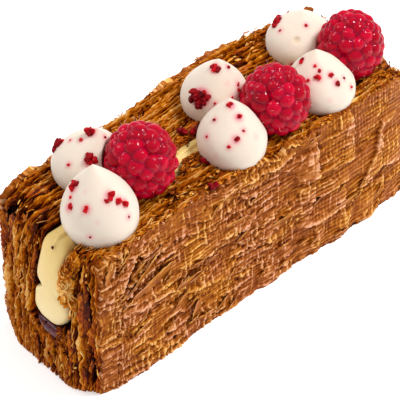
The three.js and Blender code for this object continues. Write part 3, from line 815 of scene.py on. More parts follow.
def shingles(x, z, seed):
    """Small sheets that overlap: 0 at a sheet's head, rising to 1 at its torn lower border."""
    height = z / SHINGLE_PITCH + 0.6 * noise(seed, x / 9, z / 8)
    row = np.floor(height)
    row = np.where(height < shingle_border(row, x, seed + 4), row - 1, row)
    row = np.where(height > shingle_border(row + 1, x, seed + 4), row + 1, row)
    low, high = (shingle_border(row + n, x, seed + 4) for n in (0, 1))
    share = np.clip((height - low) / (high - low), 0, 1)
    strength = 0.3 + 0.7 * smooth(noise(seed + 3, x / 5, z / 4), -0.6, 0.5)
    return strength * (1 - 0.6 * smooth(x, 2, 26)) * (1 - share) ** 1.6


def creases(x, z, seed):
    """Thin upright ridges that wander over the face, from 0 to 1."""
    turn = x / CREASE_PITCH + 0.5 * noise(seed, x / 3, z / 4.5) + 0.26 * noise(seed + 1, x / 1.3, z / 1.8)
    strength = 0.3 + 0.7 * smooth(noise(seed + 2, x / 4, z / 3.2), -0.35, 0.5)
    broken = smooth(noise(seed + 3, x / 1.2, z / 2.4), -0.5, 0.1) * (1 - 0.4 * smooth(x, 2, 26))
    return strength * broken * np.exp(-((np.sin(math.pi * turn) / 0.34) ** 2))


def wrinkles(x, z, seed):
    """Thin crests that wander and meet in a net, from 0 to 1, fewer on the far half."""
    bent = x + 0.6 * noise(seed, x / 2, z / 2)
    wavy = noise(seed + 1, bent / 2.1, z / 1.7)
    strength = 0.35 + 0.65 * smooth(noise(seed + 2, x / 5, z / 5), -0.5, 0.4)
    return strength * (1 - 0.6 * smooth(x, 2, 26)) * (1 - np.abs(wavy)) ** 3


def foot_folds(x, z, seed):
    """Soft upright folds along the foot."""
    fold = noise(seed, x / 2.1 + 0.4 * noise(seed + 1, z / 4), z / 12)
    return 0.45 * fold * (1 - smooth(z, 4, 17)) * smooth(x, -30, 10)


def blurred(field, cells):
    """A grid averaged over squares that reach `cells` to each side, twice over."""
    width = 2 * cells + 1
    for axis in (0, 1, 0, 1):
        pads = [(cells + 1, cells) if n == axis else (0, 0) for n in (0, 1)]
        sums = np.cumsum(np.pad(field, pads, mode="edge"), axis=axis)
        count = field.shape[axis]
        upper = np.take(sums, np.arange(width, width + count), axis=axis)
        field = (upper - np.take(sums, np.arange(count), axis=axis)) / width
    return field


# %% A long face
CREST_SPREAD = 0.22  # how far the stored heights of its crests spread around 0.5
FACE_DEPTH = 0.5  # how far a face lies within the plain outline, taken over all of it
DEEPEST_HOLE = 2.2
RIM_HOLE = 0.8  # near its border, where the leaves' edges lie close behind it
RIM_TURN = np.array([0.35, 0.9, 1.6])  # how far its border turns inwards


def long_face(side, step, named, seed):
    """A long face as points, faces and values: side is -1 for the front and 1 for the back."""
    x_line = np.linspace(-LENGTH / 2, LENGTH / 2, round(LENGTH / step))
    z_line = np.linspace(0, HEIGHT, round(HEIGHT / step))
    x, z = np.meshgrid(x_line, z_line, indexing="ij")
    height, count = torn_sheets(x, z, step, named, seed)
    plate, tilt = plates(x, z, seed + 80)
    cracked = smooth(x, -12, 14) * (0.45 * (plate - 0.5) + 0.3 * tilt)
    swell = 0.35 * noise(seed + 95, x / 7, z / 6)
    net = NET_DEPTH * mat_imprint(x, z, plate, seed + 90)
    fine = net + SHINGLE_RISE * shingles(x, z, seed + 84) + CREASE_RISE * creases(x, z, seed + 86)
    fine += WRINKLE_RISE * wrinkles(x, z, seed + 64)
    relief = height + cracked + swell + foot_folds(x, z, seed + 88) + fine
    over_leaves = np.maximum(smooth(z, HEIGHT - 8, HEIGHT - 5.6), smooth(np.abs(x), LENGTH / 2 - 8, LENGTH / 2 - 5.6))
    deepest = DEEPEST_HOLE + (RIM_HOLE - DEEPEST_HOLE) * over_leaves
    relief = np.maximum(relief - relief.mean() - FACE_DEPTH, -deepest)
    small = round(0.9 / step)
    # painted shade and highlight: the crest values are the relief less its blur, high on ridges and torn lips, low in
    # hollows and under steps.
    crest = fine - blurred(fine, small) + 0.4 * (relief - blurred(relief, small))
    crest += 0.3 * (relief - blurred(relief, round(3.2 / step)))
    crest *= CREST_SPREAD / crest.std()
    tone = 0.5 + 0.4 * noise(seed + 70, x / 4.5, z / 3.5) + 0.25 * noise(seed + 71, x / 12, z / 10)
    tone += 0.3 * (plate - 0.5) + 0.04 * count

    high = smooth(z, HEIGHT - 6, HEIGHT - 1)
    outer = smooth(np.abs(x), LENGTH / 2 - 6, LENGTH / 2 - 1)

    ragged_top = 0.8 * noise(seed + 96, x / 5) + 0.7 * noise(seed + 97, x / 1.3)
    ragged_end = 0.5 * noise(seed + 98, z / 4) + 0.45 * noise(seed + 99, z / 1.2)
    place = [x + np.sign(x) * outer * ragged_end, np.full(x.shape, side * WIDTH / 2), z + high * ragged_top]
    surface = settle(np.stack(place, axis=-1))
    surface[..., 1] += side * relief

    widths = [len(RIM_TURN)] * 2
    surface = np.pad(surface, (widths, widths, (0, 0)), mode="edge")
    notes = [np.pad(v, (widths, widths), mode="edge") for v in (0.5 + crest, tone)]
    from_rim = [np.minimum(np.arange(n), np.arange(n)[::-1]) for n in surface.shape[:2]]
    ring = np.minimum(from_rim[0][:, None], from_rim[1][None, :])
    inward = np.concatenate([[0], RIM_TURN])
    surface[..., 1] -= side * inward[np.clip(len(RIM_TURN) - ring, 0, None)]
    rows, columns = surface.shape[:2]
    index = np.arange(rows * columns).reshape(rows, columns)
    quads = np.stack([index[:-1, :-1], index[1:, :-1], index[1:, 1:], index[:-1, 1:]], axis=-1).reshape(-1, 4)
    rim = np.concatenate([index[:-1, 0], index[-1, :-1], index[:0:-1, -1], index[0, :0:-1]])
    fan = np.column_stack([np.roll(rim, -1), rim, np.full(len(rim), rows * columns)])
    points = np.vstack([surface.reshape(-1, 3), [[0, side * (WIDTH / 2 - 3), HEIGHT / 2]]])
    if side > 0:
        quads, fan = quads[:, ::-1], fan[:, ::-1]
    values = [np.append(v.ravel(), 0) for v in notes]
    depths = [round(float(d), 2) for d in (relief.min(), relief.mean(), relief.max(), crest.std())]
    print("relief's lowest, mean and highest, and the spread of its crests:", depths)
    return points, [quads, fan], dict(zip(("crest", "tone"), values))


front_points, front_faces, front_values = long_face(-1, 0.25, FACE_SHEETS, 300)
front_face = add_piece("pastry_front", front_points, front_faces, **front_values)
back_points, back_faces, back_values = long_face(1, 0.36, [], 500)
back_face = add_piece("pastry_back", back_points, back_faces, **back_values)

# %% [markdown]
# ## Lifted flaps
# Here and there a torn sheet has come loose and stands off the face. Such a flap overhangs, which a height
# on a grid can't do, so each one is its own thin sheet: two skins a fifth of a millimetre apart, rounded or
# leaf-shaped in outline, lying on the face along one side and lifted along the other.

# %% Flaps
FLAP_ROWS = 13
FLAP_COLUMNS = 7
FLAP_THICK = 0.2
# centre x and z, length, width, turn in degrees, lift: the ones that stand out most
LARGE_FLAPS = [
    (-36.4, 30.6, 14.6, 4.8, 14, 1.2),
    (-40.4, 34.6, 13.4, 3.2, 35, 1.1),
    (-45.6, 28.0, 5.0, 2.6, 12, 0.8),
    (-53.0, 42.5, 8.0, 3.0, 75, 0.5),
    (-46.5, 44.0, 7.0, 2.2, 30, 0.6),
    (-21.7, 9.8, 5.5, 3.0, 64, 0.8),
    (-24.0, 22.0, 9.0, 2.6, 5, 0.6),
    (-12.0, 5.5, 6.0, 2.4, 30, 0.6),
    (-7.0, 31.5, 8.0, 2.6, -6, 0.5),
    (9.0, 22.0, 10.0, 2.4, 2, 0.5),
    (30.0, 13.4, 12.0, 2.6, 4, 0.6),
    (44.0, 17.0, 9.0, 2.4, 10, 0.5),
    (24.0, 30.6, 12.0, 2.2, -2, 0.5),
]
FLAPS = 60


def flap_body(x, z, length, width, turn, lift, seed):
    """A thin loose sheet on the front face, and values at its points."""
    u, v = np.meshgrid(np.linspace(-1, 1, FLAP_ROWS), np.linspace(-1, 1, FLAP_COLUMNS), indexing="ij")
    taper = np.sqrt(np.clip(1 - 0.97 * np.abs(u) ** 2.2, 0, 1))
    ragged = 1 + 0.24 * noise(seed, u * 3.4, v * 0.4) + 0.12 * noise(seed + 5, u * 9)
    along = length / 2 * (u + 0.08 * noise(seed + 1, v * 2, u))
    across = width / 2 * v * taper * ragged
    face_x = x + along * math.cos(turn) - across * math.sin(turn)
    face_z = np.clip(z + along * math.sin(turn) + across * math.cos(turn), 0.5, HEIGHT - 0.3)
    on_face = settle(np.stack([face_x, np.full(u.shape, -WIDTH / 2), face_z], axis=-1))
    free = (1 + v) / 2
    height = lift * free**1.5 * taper - 0.3 * (1 - free) + 0.14 * noise(seed + 2, u * 4, v * 3)
    on_face[..., 1] -= height
    under = on_face + [0, FLAP_THICK, 0]
    rings = np.concatenate([on_face, under[:, ::-1]], axis=1)
    # painted highlight: the lifted, free border of a flap is stored paler than the side that lies on the face.
    crest = np.clip(0.48 + 0.32 * free**3 + 0.16 * noise(seed + 3, u * 5, v * 3), 0, 1)
    tone = 0.4 + 0.4 * noise(seed + 4, u * 2) + 0 * v
    values = [np.concatenate([value, value[:, ::-1]], axis=1).ravel() for value in (crest, tone)]
    return loft(rings), values


def make_flaps():
    placed = list(LARGE_FLAPS)
    while len(placed) < FLAPS:
        x = 54 - 108 * rng.uniform() ** 0.7
        size = rng.uniform(2.2, 6), rng.uniform(0.9, 2.2)
        placed.append((x, rng.uniform(2, 45), *size, rng.uniform(-10, 55), rng.uniform(0.2, 0.6)))
    made = [flap_body(*flap[:4], math.radians(flap[4]), flap[5], 700 + 9 * n) for n, flap in enumerate(placed)]
    return [body for body, _ in made], np.hstack([np.stack(values) for _, values in made])


flap_bodies, (flap_crest, flap_tone) = make_flaps()
flaps = add_piece("pastry_flaps", *joined(flap_bodies), crest=flap_crest, tone=flap_tone)

# %% [markdown]
# ## Shards
# The cut edges shed small shards. They lie along the leaves, bridge the gaps between them and give the top
# its broken, fibrous look. The knife also tore the front leaves beside the cream into a mass of crumbs at
# the near end. Each shard is a thin tapered blade with four stations. All of a heap are worked out at once
# as arrays, which is much faster than a loop.

# %% Shards on the top and the ends
BLADE = np.array([0.45, 1, 0.9, 0.25])  # a shard's width at its four stations, over its greatest


def shard_bodies(s, y, out, length, width, jitter, bend=0.5):
    """Shards at distances along the edge path, places across and distances outside the plain outline."""
    count = len(s)
    x, z = on_edge(s, out)
    out_x, out_z = (np.interp(s, edge_along, edge_places[:, n]) for n in (2, 3))
    onward = np.column_stack([out_z, np.zeros(count), -out_x])
    outward = np.column_stack([out_x, np.zeros(count), out_z])
    direction = unit(onward + rng.normal(0, 1, (count, 3)) * jitter)
    normal = unit(outward + rng.normal(0, 0.5, (count, 3)))
    side = unit(np.cross(direction, normal))
    normal = np.cross(side, direction)
    t = np.linspace(-0.5, 0.5, 4)[None, :, None]
    curve = (rng.uniform(-bend, bend, count) * length)[:, None, None]
    centre = np.column_stack([x, y, z])[:, None]
    spine = centre + direction[:, None] * t * length[:, None, None] + normal[:, None] * t**2 * curve
    thick = rng.uniform(0.1, 0.22, count)[:, None, None]
    aside = side[:, None] * BLADE[None, :, None] * (width / 2)[:, None, None]
    above = normal[:, None] * thick / 2
    rings = [spine + a * aside + b * above for a, b in ((1, 1), (-1, 1), (-1, -1), (1, -1))]
    points = settle(np.stack(rings, axis=2))
    points[..., 2] = np.maximum(points[..., 2], 0.02)
    return points


def away_from_slit(points):
    """The shards that don't reach into the slit."""
    x, across, z = np.moveaxis(points[:, 1, 0], -1, 0)
    return points[np.abs(across - slit_middle(x, z)) > slit_half(z) + 0.5]


def edge_shards(count, span, across, out, size=0.42, jitter=0.22):
    """Shards strewn over a stretch of the edge path."""
    s = rng.uniform(*span, count)
    y = rng.uniform(*across, count)
    length = rng.gamma(4, size, count).clip(0.6, 4)
    width = rng.uniform(0.22, 0.7, count)
    return away_from_slit(shard_bodies(s, y, rng.uniform(*out, count), length, width, [jitter] * 3))


path_length = edge_along[-1]
half_width = WIDTH / 2 - 0.6
strewn = [
    edge_shards(1800, (4, path_length - 4), (-half_width, half_width), (-0.9, 0.75)),
    edge_shards(420, (HEIGHT, path_length - HEIGHT), (-half_width, -13), (-0.4, 0.8)),
    edge_shards(160, (HEIGHT - 4, HEIGHT + 26), (-half_width, -11), (-0.2, 1.0)),
    edge_shards(620, (HEIGHT - 2, path_length - HEIGHT + 2), (-half_width, -17.4), (-0.5, 0.6), 0.24, 0.8),
    edge_shards(260, (HEIGHT, path_length - HEIGHT), (9, half_width), (-0.3, 0.4), 0.24, 0.5),
]
shard_points = np.concatenate(strewn)
shard_tone = np.repeat(rng.uniform(0, 1, len(shard_points)), 16)
shard_out = np.repeat(rng.uniform(0.45, 1, len(shard_points)), 16)
shards = add_piece("pastry_shards", *joined([loft(r) for r in shard_points]), crisp=True, tone=shard_tone, out=shard_out)

# %% The torn mass beside the cream
TORN = 280
TORN_HEIGHTS = np.array([31.0, 33.5, 36.0, 40.0, 44.0, 47.0])
TORN_ACROSS = np.array([-12.2, -10.6, -9.5, -10.1, -11.8, -13.0])  # its middle at those heights
TORN_SPREAD = 1.0
TORN_STAND = 1.9  # how far it stands out of the plain outline in its middle
TORN_BRIGHTEST = 36.5  # the height at which its flakes are palest


def torn_mass():
    """Crumbs and fibres of torn leaves at the near end, over the cream's front side."""
    s = rng.uniform(TORN_HEIGHTS[0], TORN_HEIGHTS[-1], TORN)
    aside = rng.normal(0, 1, TORN).clip(-2, 2)
    y = np.interp(s, TORN_HEIGHTS, TORN_ACROSS) + TORN_SPREAD * aside
    out = (TORN_STAND - 0.35 * aside**2) * rng.uniform(0.3, 1.1, TORN)
    length = rng.gamma(4, 0.6, TORN).clip(1.2, 4)
    return shard_bodies(s, y, out, length, rng.uniform(0.7, 1.8, TORN), [0.28, 0.3, 0.28], 0.6)


def loose_bits(count, heights, across, size, out=(0.2, 1.4)):
    """Small crumbs at the near end, under the cream."""
    s = rng.uniform(*heights, count)
    length = rng.uniform(0.5, 1.2, count) * size
    places = s, rng.uniform(*across, count), rng.uniform(*out, count)
    return shard_bodies(*places, length, 0.6 * length, [1, 1, 1])


def gap_bits(count, along, across):
    """Crumbs in the gap between two pairs of kisses, on the cream's borders."""
    s = HEIGHT + LENGTH / 2 - 1 + rng.uniform(*along, count)
    length = rng.uniform(0.6, 2.2, count)
    places = s, rng.uniform(*across, count), rng.uniform(0.6, 1.5, count)
    return shard_bodies(*places, length, 0.45 * length, [0.5, 0.5, 0.4])


torn_points = np.concatenate([
    torn_mass(),
    loose_bits(70, (13.5, 20), (-11.5, -7.2), 1.3),
    gap_bits(80, (-17, -6), (-2.4, 1.4)),
    gap_bits(120, (-17, -5), (-10.4, -6.6)),
])
torn_tone = np.repeat(rng.uniform(0.4, 1, len(torn_points)), 16)
torn_pale = 0.45 * bell(torn_points[..., 2].mean(axis=(1, 2)) - TORN_BRIGHTEST, 4.5)
torn_out = np.repeat(torn_pale + rng.uniform(0.45, 0.75, len(torn_points)), 16)
torn_bodies = [loft(rings) for rings in torn_points]
torn = add_piece("pastry_torn_crumbs", *joined(torn_bodies), crisp=True, tone=torn_tone, out=torn_out)

# %% [markdown]
# ## The pastry's finish
# Baked puff pastry is golden at its crests, where the butter browned it evenly, and caramel between the
# leaves. The colour follows the stored values: how far out a point lies and which leaf it is on. The ramps
# paint what lies deep between the leaves, or in a hollow of a long face, a dark brown near black, as painted
# shade, and paint the crests paler, partly browning and partly painted highlight. Noise that is long in the
# plane of the leaves and short across them gives the fibres.

# %% Pastry on its cut edges
def cut_pastry_finish():
    finish = Finish("baked_leaves_and_shade", Specular_IOR_Level=0.06)
    fibre = finish.grain(0.35, stretch=(5, 1, 5))
    blotch = finish.grain(2.8, stretch=(2, 1, 2), detail=2)
    # painted shade: low `out` values, deep between the leaves, get the near-black stops; the pale top stops are
    # partly browning, partly painted highlight.
    height = finish.value("out") * 0.9 + (fibre - 0.5) * 0.9 + (blotch - 0.5) * 0.35
    colours = (0.18, "200600"), (0.4, "642200"), (0.58, "b05a00"), (0.76, "e09018"), (0.96, "ffd88c")
    warm = finish.ramp(height, *colours)
    leafy = finish.ramp(finish.value("tone"), (0, "cc8c5c"), (0.5, "f2e4c8"), (1, "ffffff"))
    finish.set(Base_Color=finish.mix(0.9, warm, leafy, "MULTIPLY"))
    finish.set(Roughness=0.34 + blotch * 0.3)
    finish.set(Normal=finish.bump(fibre, 0.2, 0.9))
    return finish


baked_leaves_and_shade = cut_pastry_finish()
for piece in (*leaf_pieces, broad_leaves, shards, torn):
    dress(piece, baked_leaves_and_shade, "pastry", "pastry")


# %% Pastry on its long faces
def face_pastry_finish():
    finish = Finish("baked_face_and_shade", Specular_IOR_Level=0.06)
    fibre = finish.grain(0.4, stretch=(1.6, 1, 2.4))
    blotch = finish.grain(3, detail=3)
    # painted shade and highlight: the ramp paints low crest values (hollows, under steps) dark brown and high ones
    # (ridges, lips) pale, partly browning too.
    height = finish.value("crest") + (fibre - 0.5) * 0.3 + (blotch - 0.5) * 0.2
    colours = (0.08, "4a1800"), (0.3, "824204"), (0.5, "a8621c"), (0.7, "d08e4a"), (0.92, "ffd09a")
    warm = finish.ramp(height, *colours)
    rosy = finish.mix(1.0, warm, tint("f0dae8"), "MULTIPLY")
    gold = finish.mix(1.0, warm, tint("fff2b4"), "MULTIPLY")
    share = finish.clamped((finish.value("tone") - 0.5) * 1.6 + 0.5 + (blotch - 0.5) * 0.8)
    finish.set(Base_Color=finish.mix(share, gold, rosy))
    finish.set(Roughness=0.36 + blotch * 0.3)
    finish.set(Normal=finish.bump(fibre, 0.22, 0.9))
    return finish


baked_face_and_shade = face_pastry_finish()
for piece in (front_face, back_face, flaps):
    dress(piece, baked_face_and_shade, "pastry", "pastry")

# painted shade: the core is coloured a near-black brown to stand for the shade deep in the gaps between the leaves.
core_shade_finish = Finish("core_painted_shade", Roughness=0.6, Specular_IOR_Level=0.15)
core_fibre = core_shade_finish.grain(0.5, stretch=(3, 1, 3))
core_shade_finish.set(Base_Color=core_shade_finish.ramp(core_fibre, (0.3, "1e0a02"), (0.7, "522606")))
core_shade_finish.set(Normal=core_shade_finish.bump(core_fibre, 0.2, 0.8))
dress(core, core_shade_finish, "pastry", "pastry")

# %% [markdown]
# ## Jam and pastry cream
# The cook piped jam on the slit's floor and pastry cream over it, in two ropes that ran together. At the ends
# the cream bulges a little out of the pastry, and a nick at its side shows where the ropes met. Each filling is
# lofted along the slit, its section drawn from the slit's own walls, with rounded corners and domed ends.

# %% Fillings
JAM_TOP = 17.3
CUSTARD_FLOOR = 17.6
CUSTARD_TOP = HEIGHT + 0.9
CUSTARD_WAIST = 29.8  # height of the nick between the two ropes
NICK = (3.0, 1.2)  # how deep it is at the back and at the front
NICK_HEIGHT = 1.9
CROWN = 0.6  # the cream's top is higher in its middle
DOME_WITHIN = 1.4  # how far inside the block its domed ends begin
DOME_FULLNESS = 2.4  # 2 is a half round, more is blunter
DEEPEST_ROUND = 5.8  # its foot's rounding takes no more than this off either side
SIDE_POINTS = 44
TOP_POINTS = 6


def rope_ring(x, low, high, inset, rounds, crown, nicks):
    """A closed section across the slit between two heights, its corners rounded, as (y, z) points."""
    z = low + (high - low) * (0.5 - 0.5 * np.cos(np.linspace(0, math.pi, SIDE_POINTS)))
    sides = []
    for side, (foot_round, top_round), nick in zip((1, -1), rounds, nicks):
        from_foot = 1 - np.clip((z - low) / foot_round, 0, 1)
        from_top = 1 - np.clip((high - z) / top_round, 0, 1)
        foot_depth = min(foot_round, DEEPEST_ROUND)
        drawn_in = foot_depth * (1 - np.sqrt(1 - from_foot**2)) + top_round * (1 - np.sqrt(1 - from_top**2))
        drawn_in = drawn_in + inset + nick * bell(z - CUSTARD_WAIST, NICK_HEIGHT)
        sides.append(np.stack([slit_middle(x, z) + side * (slit_half(z) - drawn_in), z], axis=-1))
    back, front = sides
    share = np.linspace(0, 1, TOP_POINTS + 2)[1:-1, None]
    top = back[-1] + (front[-1] - back[-1]) * share + [0, crown] * (1 - (2 * share - 1) ** 2)
    base = front[0] + (back[0] - front[0]) * share
    return np.vstack([back, top, front[::-1], base])


def rope_body(low, high, bulge, inset, rounds, crown, nicks, step, seed):
    """A filling along the slit, with domed ends that lean as the block's ends do."""
    out = np.sin(np.linspace(0, math.pi / 2, 14))[1:]
    out[-1] = 0.9985
    dome = bulge + DOME_WITHIN
    half_length = LENGTH / 2 - DOME_WITHIN
    straight = np.linspace(-half_length, half_length, round(2 * half_length / step))
    xs = np.concatenate([-half_length - dome * out[::-1], straight, half_length + dome * out])
    narrows = (1 - out**DOME_FULLNESS) ** (1 / DOME_FULLNESS)
    scales = np.concatenate([narrows[::-1], np.ones(len(straight)), narrows])
    rings = []
    for x, scale in zip(xs, scales):
        ring = rope_ring(x, low, high, inset, rounds, crown * (1 + 0.7 * noise(seed, x / 8)), nicks)
        middle = ring.mean(axis=0)
        wave = 0.1 * noise(seed + 1, x / 5, ring[:, 0] / 4, ring[:, 1] / 5)
        ring = middle + (ring + unit(ring - middle) * wave[:, None] - middle) * scale
        leaning = END_SPREAD * np.clip(1 - ring[:, 1] / HEIGHT, 0, 1) ** 0.8
        leaning *= smooth(abs(x), LENGTH / 2 - 10, LENGTH / 2 - 1)
        rings.append(np.column_stack([x + np.sign(x) * leaning, ring]))
    return loft(np.array(rings))


custard_rounds = (3.7, 4.4), (9.0, 3.2)  # of its foot and its top, at the back and at the front
jam_rounds = (0.6, 0.6), (0.6, 0.6)
custard_body = rope_body(CUSTARD_FLOOR, CUSTARD_TOP, 2.0, 0.35, custard_rounds, CROWN, NICK, 1.2, 43)
jam_body = rope_body(SLIT_FLOOR + 0.4, JAM_TOP, 0.8, 0.4, jam_rounds, 0, (0, 0), 2.0, 47)
custard = add_piece("custard_ropes", *custard_body)
jam = add_piece("jam_bed", *jam_body)

# %% Their finishes
def custard_finish():
    finish = Finish("pastry_cream", Roughness=0.42, Specular_IOR_Level=0.3)
    finish.set(Subsurface_Weight=0.2, Subsurface_Radius=(1, 0.75, 0.4), Subsurface_Scale=0.0015)
    cloud = finish.grain(5, detail=3)
    up = finish.node("SeparateXYZ", None, {0: finish.place()}, 2)
    # painted shade: the cream is painted darker and more ochre towards its top, next to the kisses.
    height = finish.clamped(up * (1 / 30) - 0.55 + (cloud - 0.5) * 0.3)
    finish.set(Base_Color=finish.ramp(height, (0.1, "f3dda6"), (0.9, "eccb7e")))
    finish.set(Normal=finish.bump(finish.grain(1.5), 0.04, 0.5))
    return finish


def jam_finish():
    finish = Finish("berry_jam", Specular_IOR_Level=0.2, Coat_Weight=0.25, Coat_Roughness=0.12)
    pulp = finish.grain(1.2, detail=4)
    finish.set(Base_Color=finish.ramp(pulp, (0.3, "300a14"), (0.75, "6c2234")))
    finish.set(Roughness=0.3 + pulp * 0.2)
    finish.set(Normal=finish.bump(pulp, 0.3, 0.8))
    return finish


dress(custard, custard_finish(), "custard", "custard")
dress(jam, jam_finish(), "jam", "jam")

# %% [markdown]
# ## The cream kisses
# A kiss is piped from above: it spreads into a round foot, draws in over full shoulders and ends in a soft
# tip, bent over as the nozzle left. It is a lathe form whose axis bends, so its points are worked out from a
# bearing and a share of its height. It gives way to the berry beside it, and the back kiss of a pair to the
# front one.

# %% Where the toppings stand
KISS_WAIST = 0.23  # share of a kiss's height where it is widest
KISS_FOOT = 0.93  # its foot's radius over its greatest radius

# name: place of its axis, radius, height, how far its tip is bent over
KISSES = {
    "kiss_1_front": ((-44.2, -8.1), 9.8, 17.9, (0.4, 2.3)),
    "kiss_1_back": ((-34.2, 8.3), 9.6, 14.6, (2.2, -2.0)),
    "kiss_2_front": ((-1.2, -10.4), 9.2, 15.2, (1.0, 2.4)),
    "kiss_2_back": ((7.4, 5.4), 9.1, 15.6, (0.8, -0.6)),
    "kiss_3_front": ((31.2, -10.8), 9.3, 14.4, (-0.4, 2.2)),
    "kiss_3_back": ((41.2, 6.8), 9.6, 12.6, (0.4, 0.4)),
}
# name: place of its middle, radius, half its height
BERRIES = {
    "raspberry_1": ((-27.5, -4.6), 9.6, 10.5),
    "raspberry_2": ((14.2, -10.5), 9.4, 10.0),
    "raspberry_3": ((44.9, -8.2), 9.3, 10.0),
}
BERRY_SINK = 2.0  # how far a berry presses into the slit


def berry_middle(name):
    (x, y), _, half = BERRIES[name]
    return np.array([x, y, HEIGHT - BERRY_SINK + half])


def kiss_width(share):
    """A kiss's radius at a share of its height, over its greatest radius."""
    down = np.clip((KISS_WAIST - share) / KISS_WAIST, 0, 1)
    foot = KISS_FOOT + (1 - KISS_FOOT) * np.sqrt(1 - down**2)
    up = np.clip((share - KISS_WAIST) / (1 - KISS_WAIST), 0, 1)
    return np.where(share < KISS_WAIST, foot, (1 - up**1.83) ** 1.1)


def kiss_point(name, bearing, share):
    """A point on a kiss, from its bearing in radians and a share of its height."""
    (x, y), radius, height, tip = KISSES[name]
    bend = np.clip(share, 0, 1) ** 2
    reach = radius * kiss_width(share)
    return np.stack([
        x + tip[0] * bend + reach * np.cos(bearing),
        y + tip[1] * bend + reach * np.sin(bearing),
        HEIGHT + share * height + 0 * bearing,
    ], axis=-1)


# %% Shaping the kisses
KISS_SIDES = 88
KISS_RINGS = 50
PRESS = 0.15
DIMPLES = {"kiss_3_back": (214, 0.61)}  # a burst bubble: its bearing in degrees and share of the height
DIMPLE_RADIUS = 1.0
DIMPLE_DEPTH = 0.55


def give_way_to_berries(points):
    """Moves points that lie in a berry out to its surface."""
    for name, (_, radius, half) in BERRIES.items():
        size = np.array([radius, radius, half]) + PRESS
        middle = berry_middle(name)
        inside = (points - middle) / size
        reach = np.linalg.norm(inside, axis=-1, keepdims=True)
        pushed = middle + inside / np.maximum(reach, 1e-6) * size
        points = np.where(reach < 1, pushed, points)
    return points


def give_way_to_kiss(points, name):
    """Moves points that lie in another kiss out to its surface."""
    (x, y), radius, height, tip = KISSES[name]
    share = (points[..., 2] - HEIGHT) / height
    bend = np.clip(share, 0, 1) ** 2
    axis = np.stack([x + tip[0] * bend, y + tip[1] * bend], axis=-1)
    away = points[..., :2] - axis
    distance = np.linalg.norm(away, axis=-1, keepdims=True)
    reach = ((radius * kiss_width(share)) * (share < 1))[..., None] + PRESS
    moved = axis + away / np.maximum(distance, 1e-6) * np.maximum(distance, reach)
    return np.concatenate([moved, points[..., 2:]], axis=-1)


def dimple_at(name, points):
    """How far within its dimple each point of a kiss lies, from 0 to 1."""
    if name not in DIMPLES:
        return np.zeros(points.shape[:-1])
    degrees, share = DIMPLES[name]
    centre = kiss_point(name, np.array(math.radians(degrees)), np.array(share))
    return 1 - smooth(np.linalg.norm(points - centre, axis=-1), 0.35 * DIMPLE_RADIUS, 1.15 * DIMPLE_RADIUS)


def kiss_rings(name):
    foot = -0.3 / KISSES[name][2]
    rise = np.linspace(0, 1, KISS_RINGS)
    shares = foot + (0.9995 - foot) * (1 - (1 - rise) ** 1.5)
    bearing = np.linspace(0, 2 * math.pi, KISS_SIDES, endpoint=False)
    rings = kiss_point(name, bearing[None, :], shares[:, None])
    seed = 900 + 10 * sorted(KISSES).index(name)
    x, y, z = np.moveaxis(rings, -1, 0)
    uneven = 0.17 * noise(seed, x / 6, y / 6, z / 6) + 0.05 * noise(seed + 1, x / 2.2, y / 2.2, z / 2.2)
    uneven = uneven - DIMPLE_DEPTH * dimple_at(name, rings)
    out = unit(rings - rings.mean(axis=(0, 1)))
    rings = rings + out * uneven[..., None] * (shares[:, None, None] < 0.97)
    rings = give_way_to_berries(rings)
    if name.endswith("back"):
        rings = give_way_to_kiss(rings, name.replace("back", "front"))
    return rings


kiss_forms = {name: kiss_rings(name) for name in KISSES}

# %% [markdown]
# ## Freeze-dried crumbs
# The cook scattered crumbs of freeze-dried fruit over the kisses. They are dry, sharp-edged and dark red,
# and where one lies on the moist cream it bleeds a small pink halo. Each crumb is a ball of few facets
# pulled out of shape by noise, and a large crumb is several such lumps together. The halo is stored on the
# cream's points from the distance to the nearest crumb.

# %% Where the crumbs lie
SMALL, MIDDLING, LARGE, HUGE = 0.8, 1.9, 2.8, 5.6  # across

# bearing from +X in degrees, share of the kiss's height, size
CRUMBS = {
    "kiss_1_front": [
        (150, 0.69, LARGE), (170, 0.5, MIDDLING), (208, 0.58, MIDDLING), (264, 0.7, MIDDLING),
        (252, 0.66, 1.1), (280, 0.6, MIDDLING), (288, 0.54, MIDDLING), (282, 0.38, SMALL),
        (162, 0.6, 0.6), (216, 0.24, 0.45),
    ],
    "kiss_1_back": [
        (138, 0.93, LARGE), (118, 0.48, LARGE), (124, 0.38, MIDDLING), (132, 0.69, SMALL),
        (160, 0.81, SMALL), (298, 0.85, SMALL), (226, 0.62, LARGE), (186, 0.52, SMALL),
    ],
    "kiss_2_front": [
        (244, 0.92, MIDDLING), (260, 0.79, MIDDLING), (258, 0.64, SMALL), (236, 0.56, MIDDLING),
        (222, 0.47, SMALL), (172, 0.49, SMALL), (168, 0.72, SMALL),
    ],
    "kiss_2_back": [
        (204, 0.89, 2.4), (308, 0.85, 1.1), (196, 0.51, HUGE), (289, 0.6, 1.2), (285, 0.54, 1.2),
        (282, 0.47, 1.1), (228, 0.38, 1.3), (222, 0.33, SMALL), (262, 0.5, 0.5), (226, 0.46, 0.6),
    ],
    "kiss_3_front": [
        (132, 0.74, 1.6), (228, 0.76, SMALL), (222, 0.68, MIDDLING), (258, 0.69, 1.4),
        (264, 0.57, 1.5), (288, 0.56, 0.5), (292, 0.38, SMALL), (198, 0.61, 1.1),
        (212, 0.81, SMALL),
    ],
    "kiss_3_back": [
        (104, 0.55, LARGE), (126, 0.61, LARGE), (86, 0.69, SMALL), (162, 0.63, SMALL),
        (244, 0.81, SMALL), (212, 0.1, MIDDLING),
    ],
}
# x, y, z, size: crumbs that fell between the kisses, and one on the pastry cream
GAP_CRUMBS = [
    (-7.6, 1.6, 49.2, 2.6),
    (-5.6, -0.4, 49.4, 2.0),
    (-10.9, -10.2, 48.6, 2.3),
    (-10.6, -3.6, 49.6, 0.7),
    (-14.6, -2.8, 49.6, 0.6),
    (-15.0, -18.1, 48.4, 2.3),
    (-57.9, -5.9, 46.3, 0.95),
]


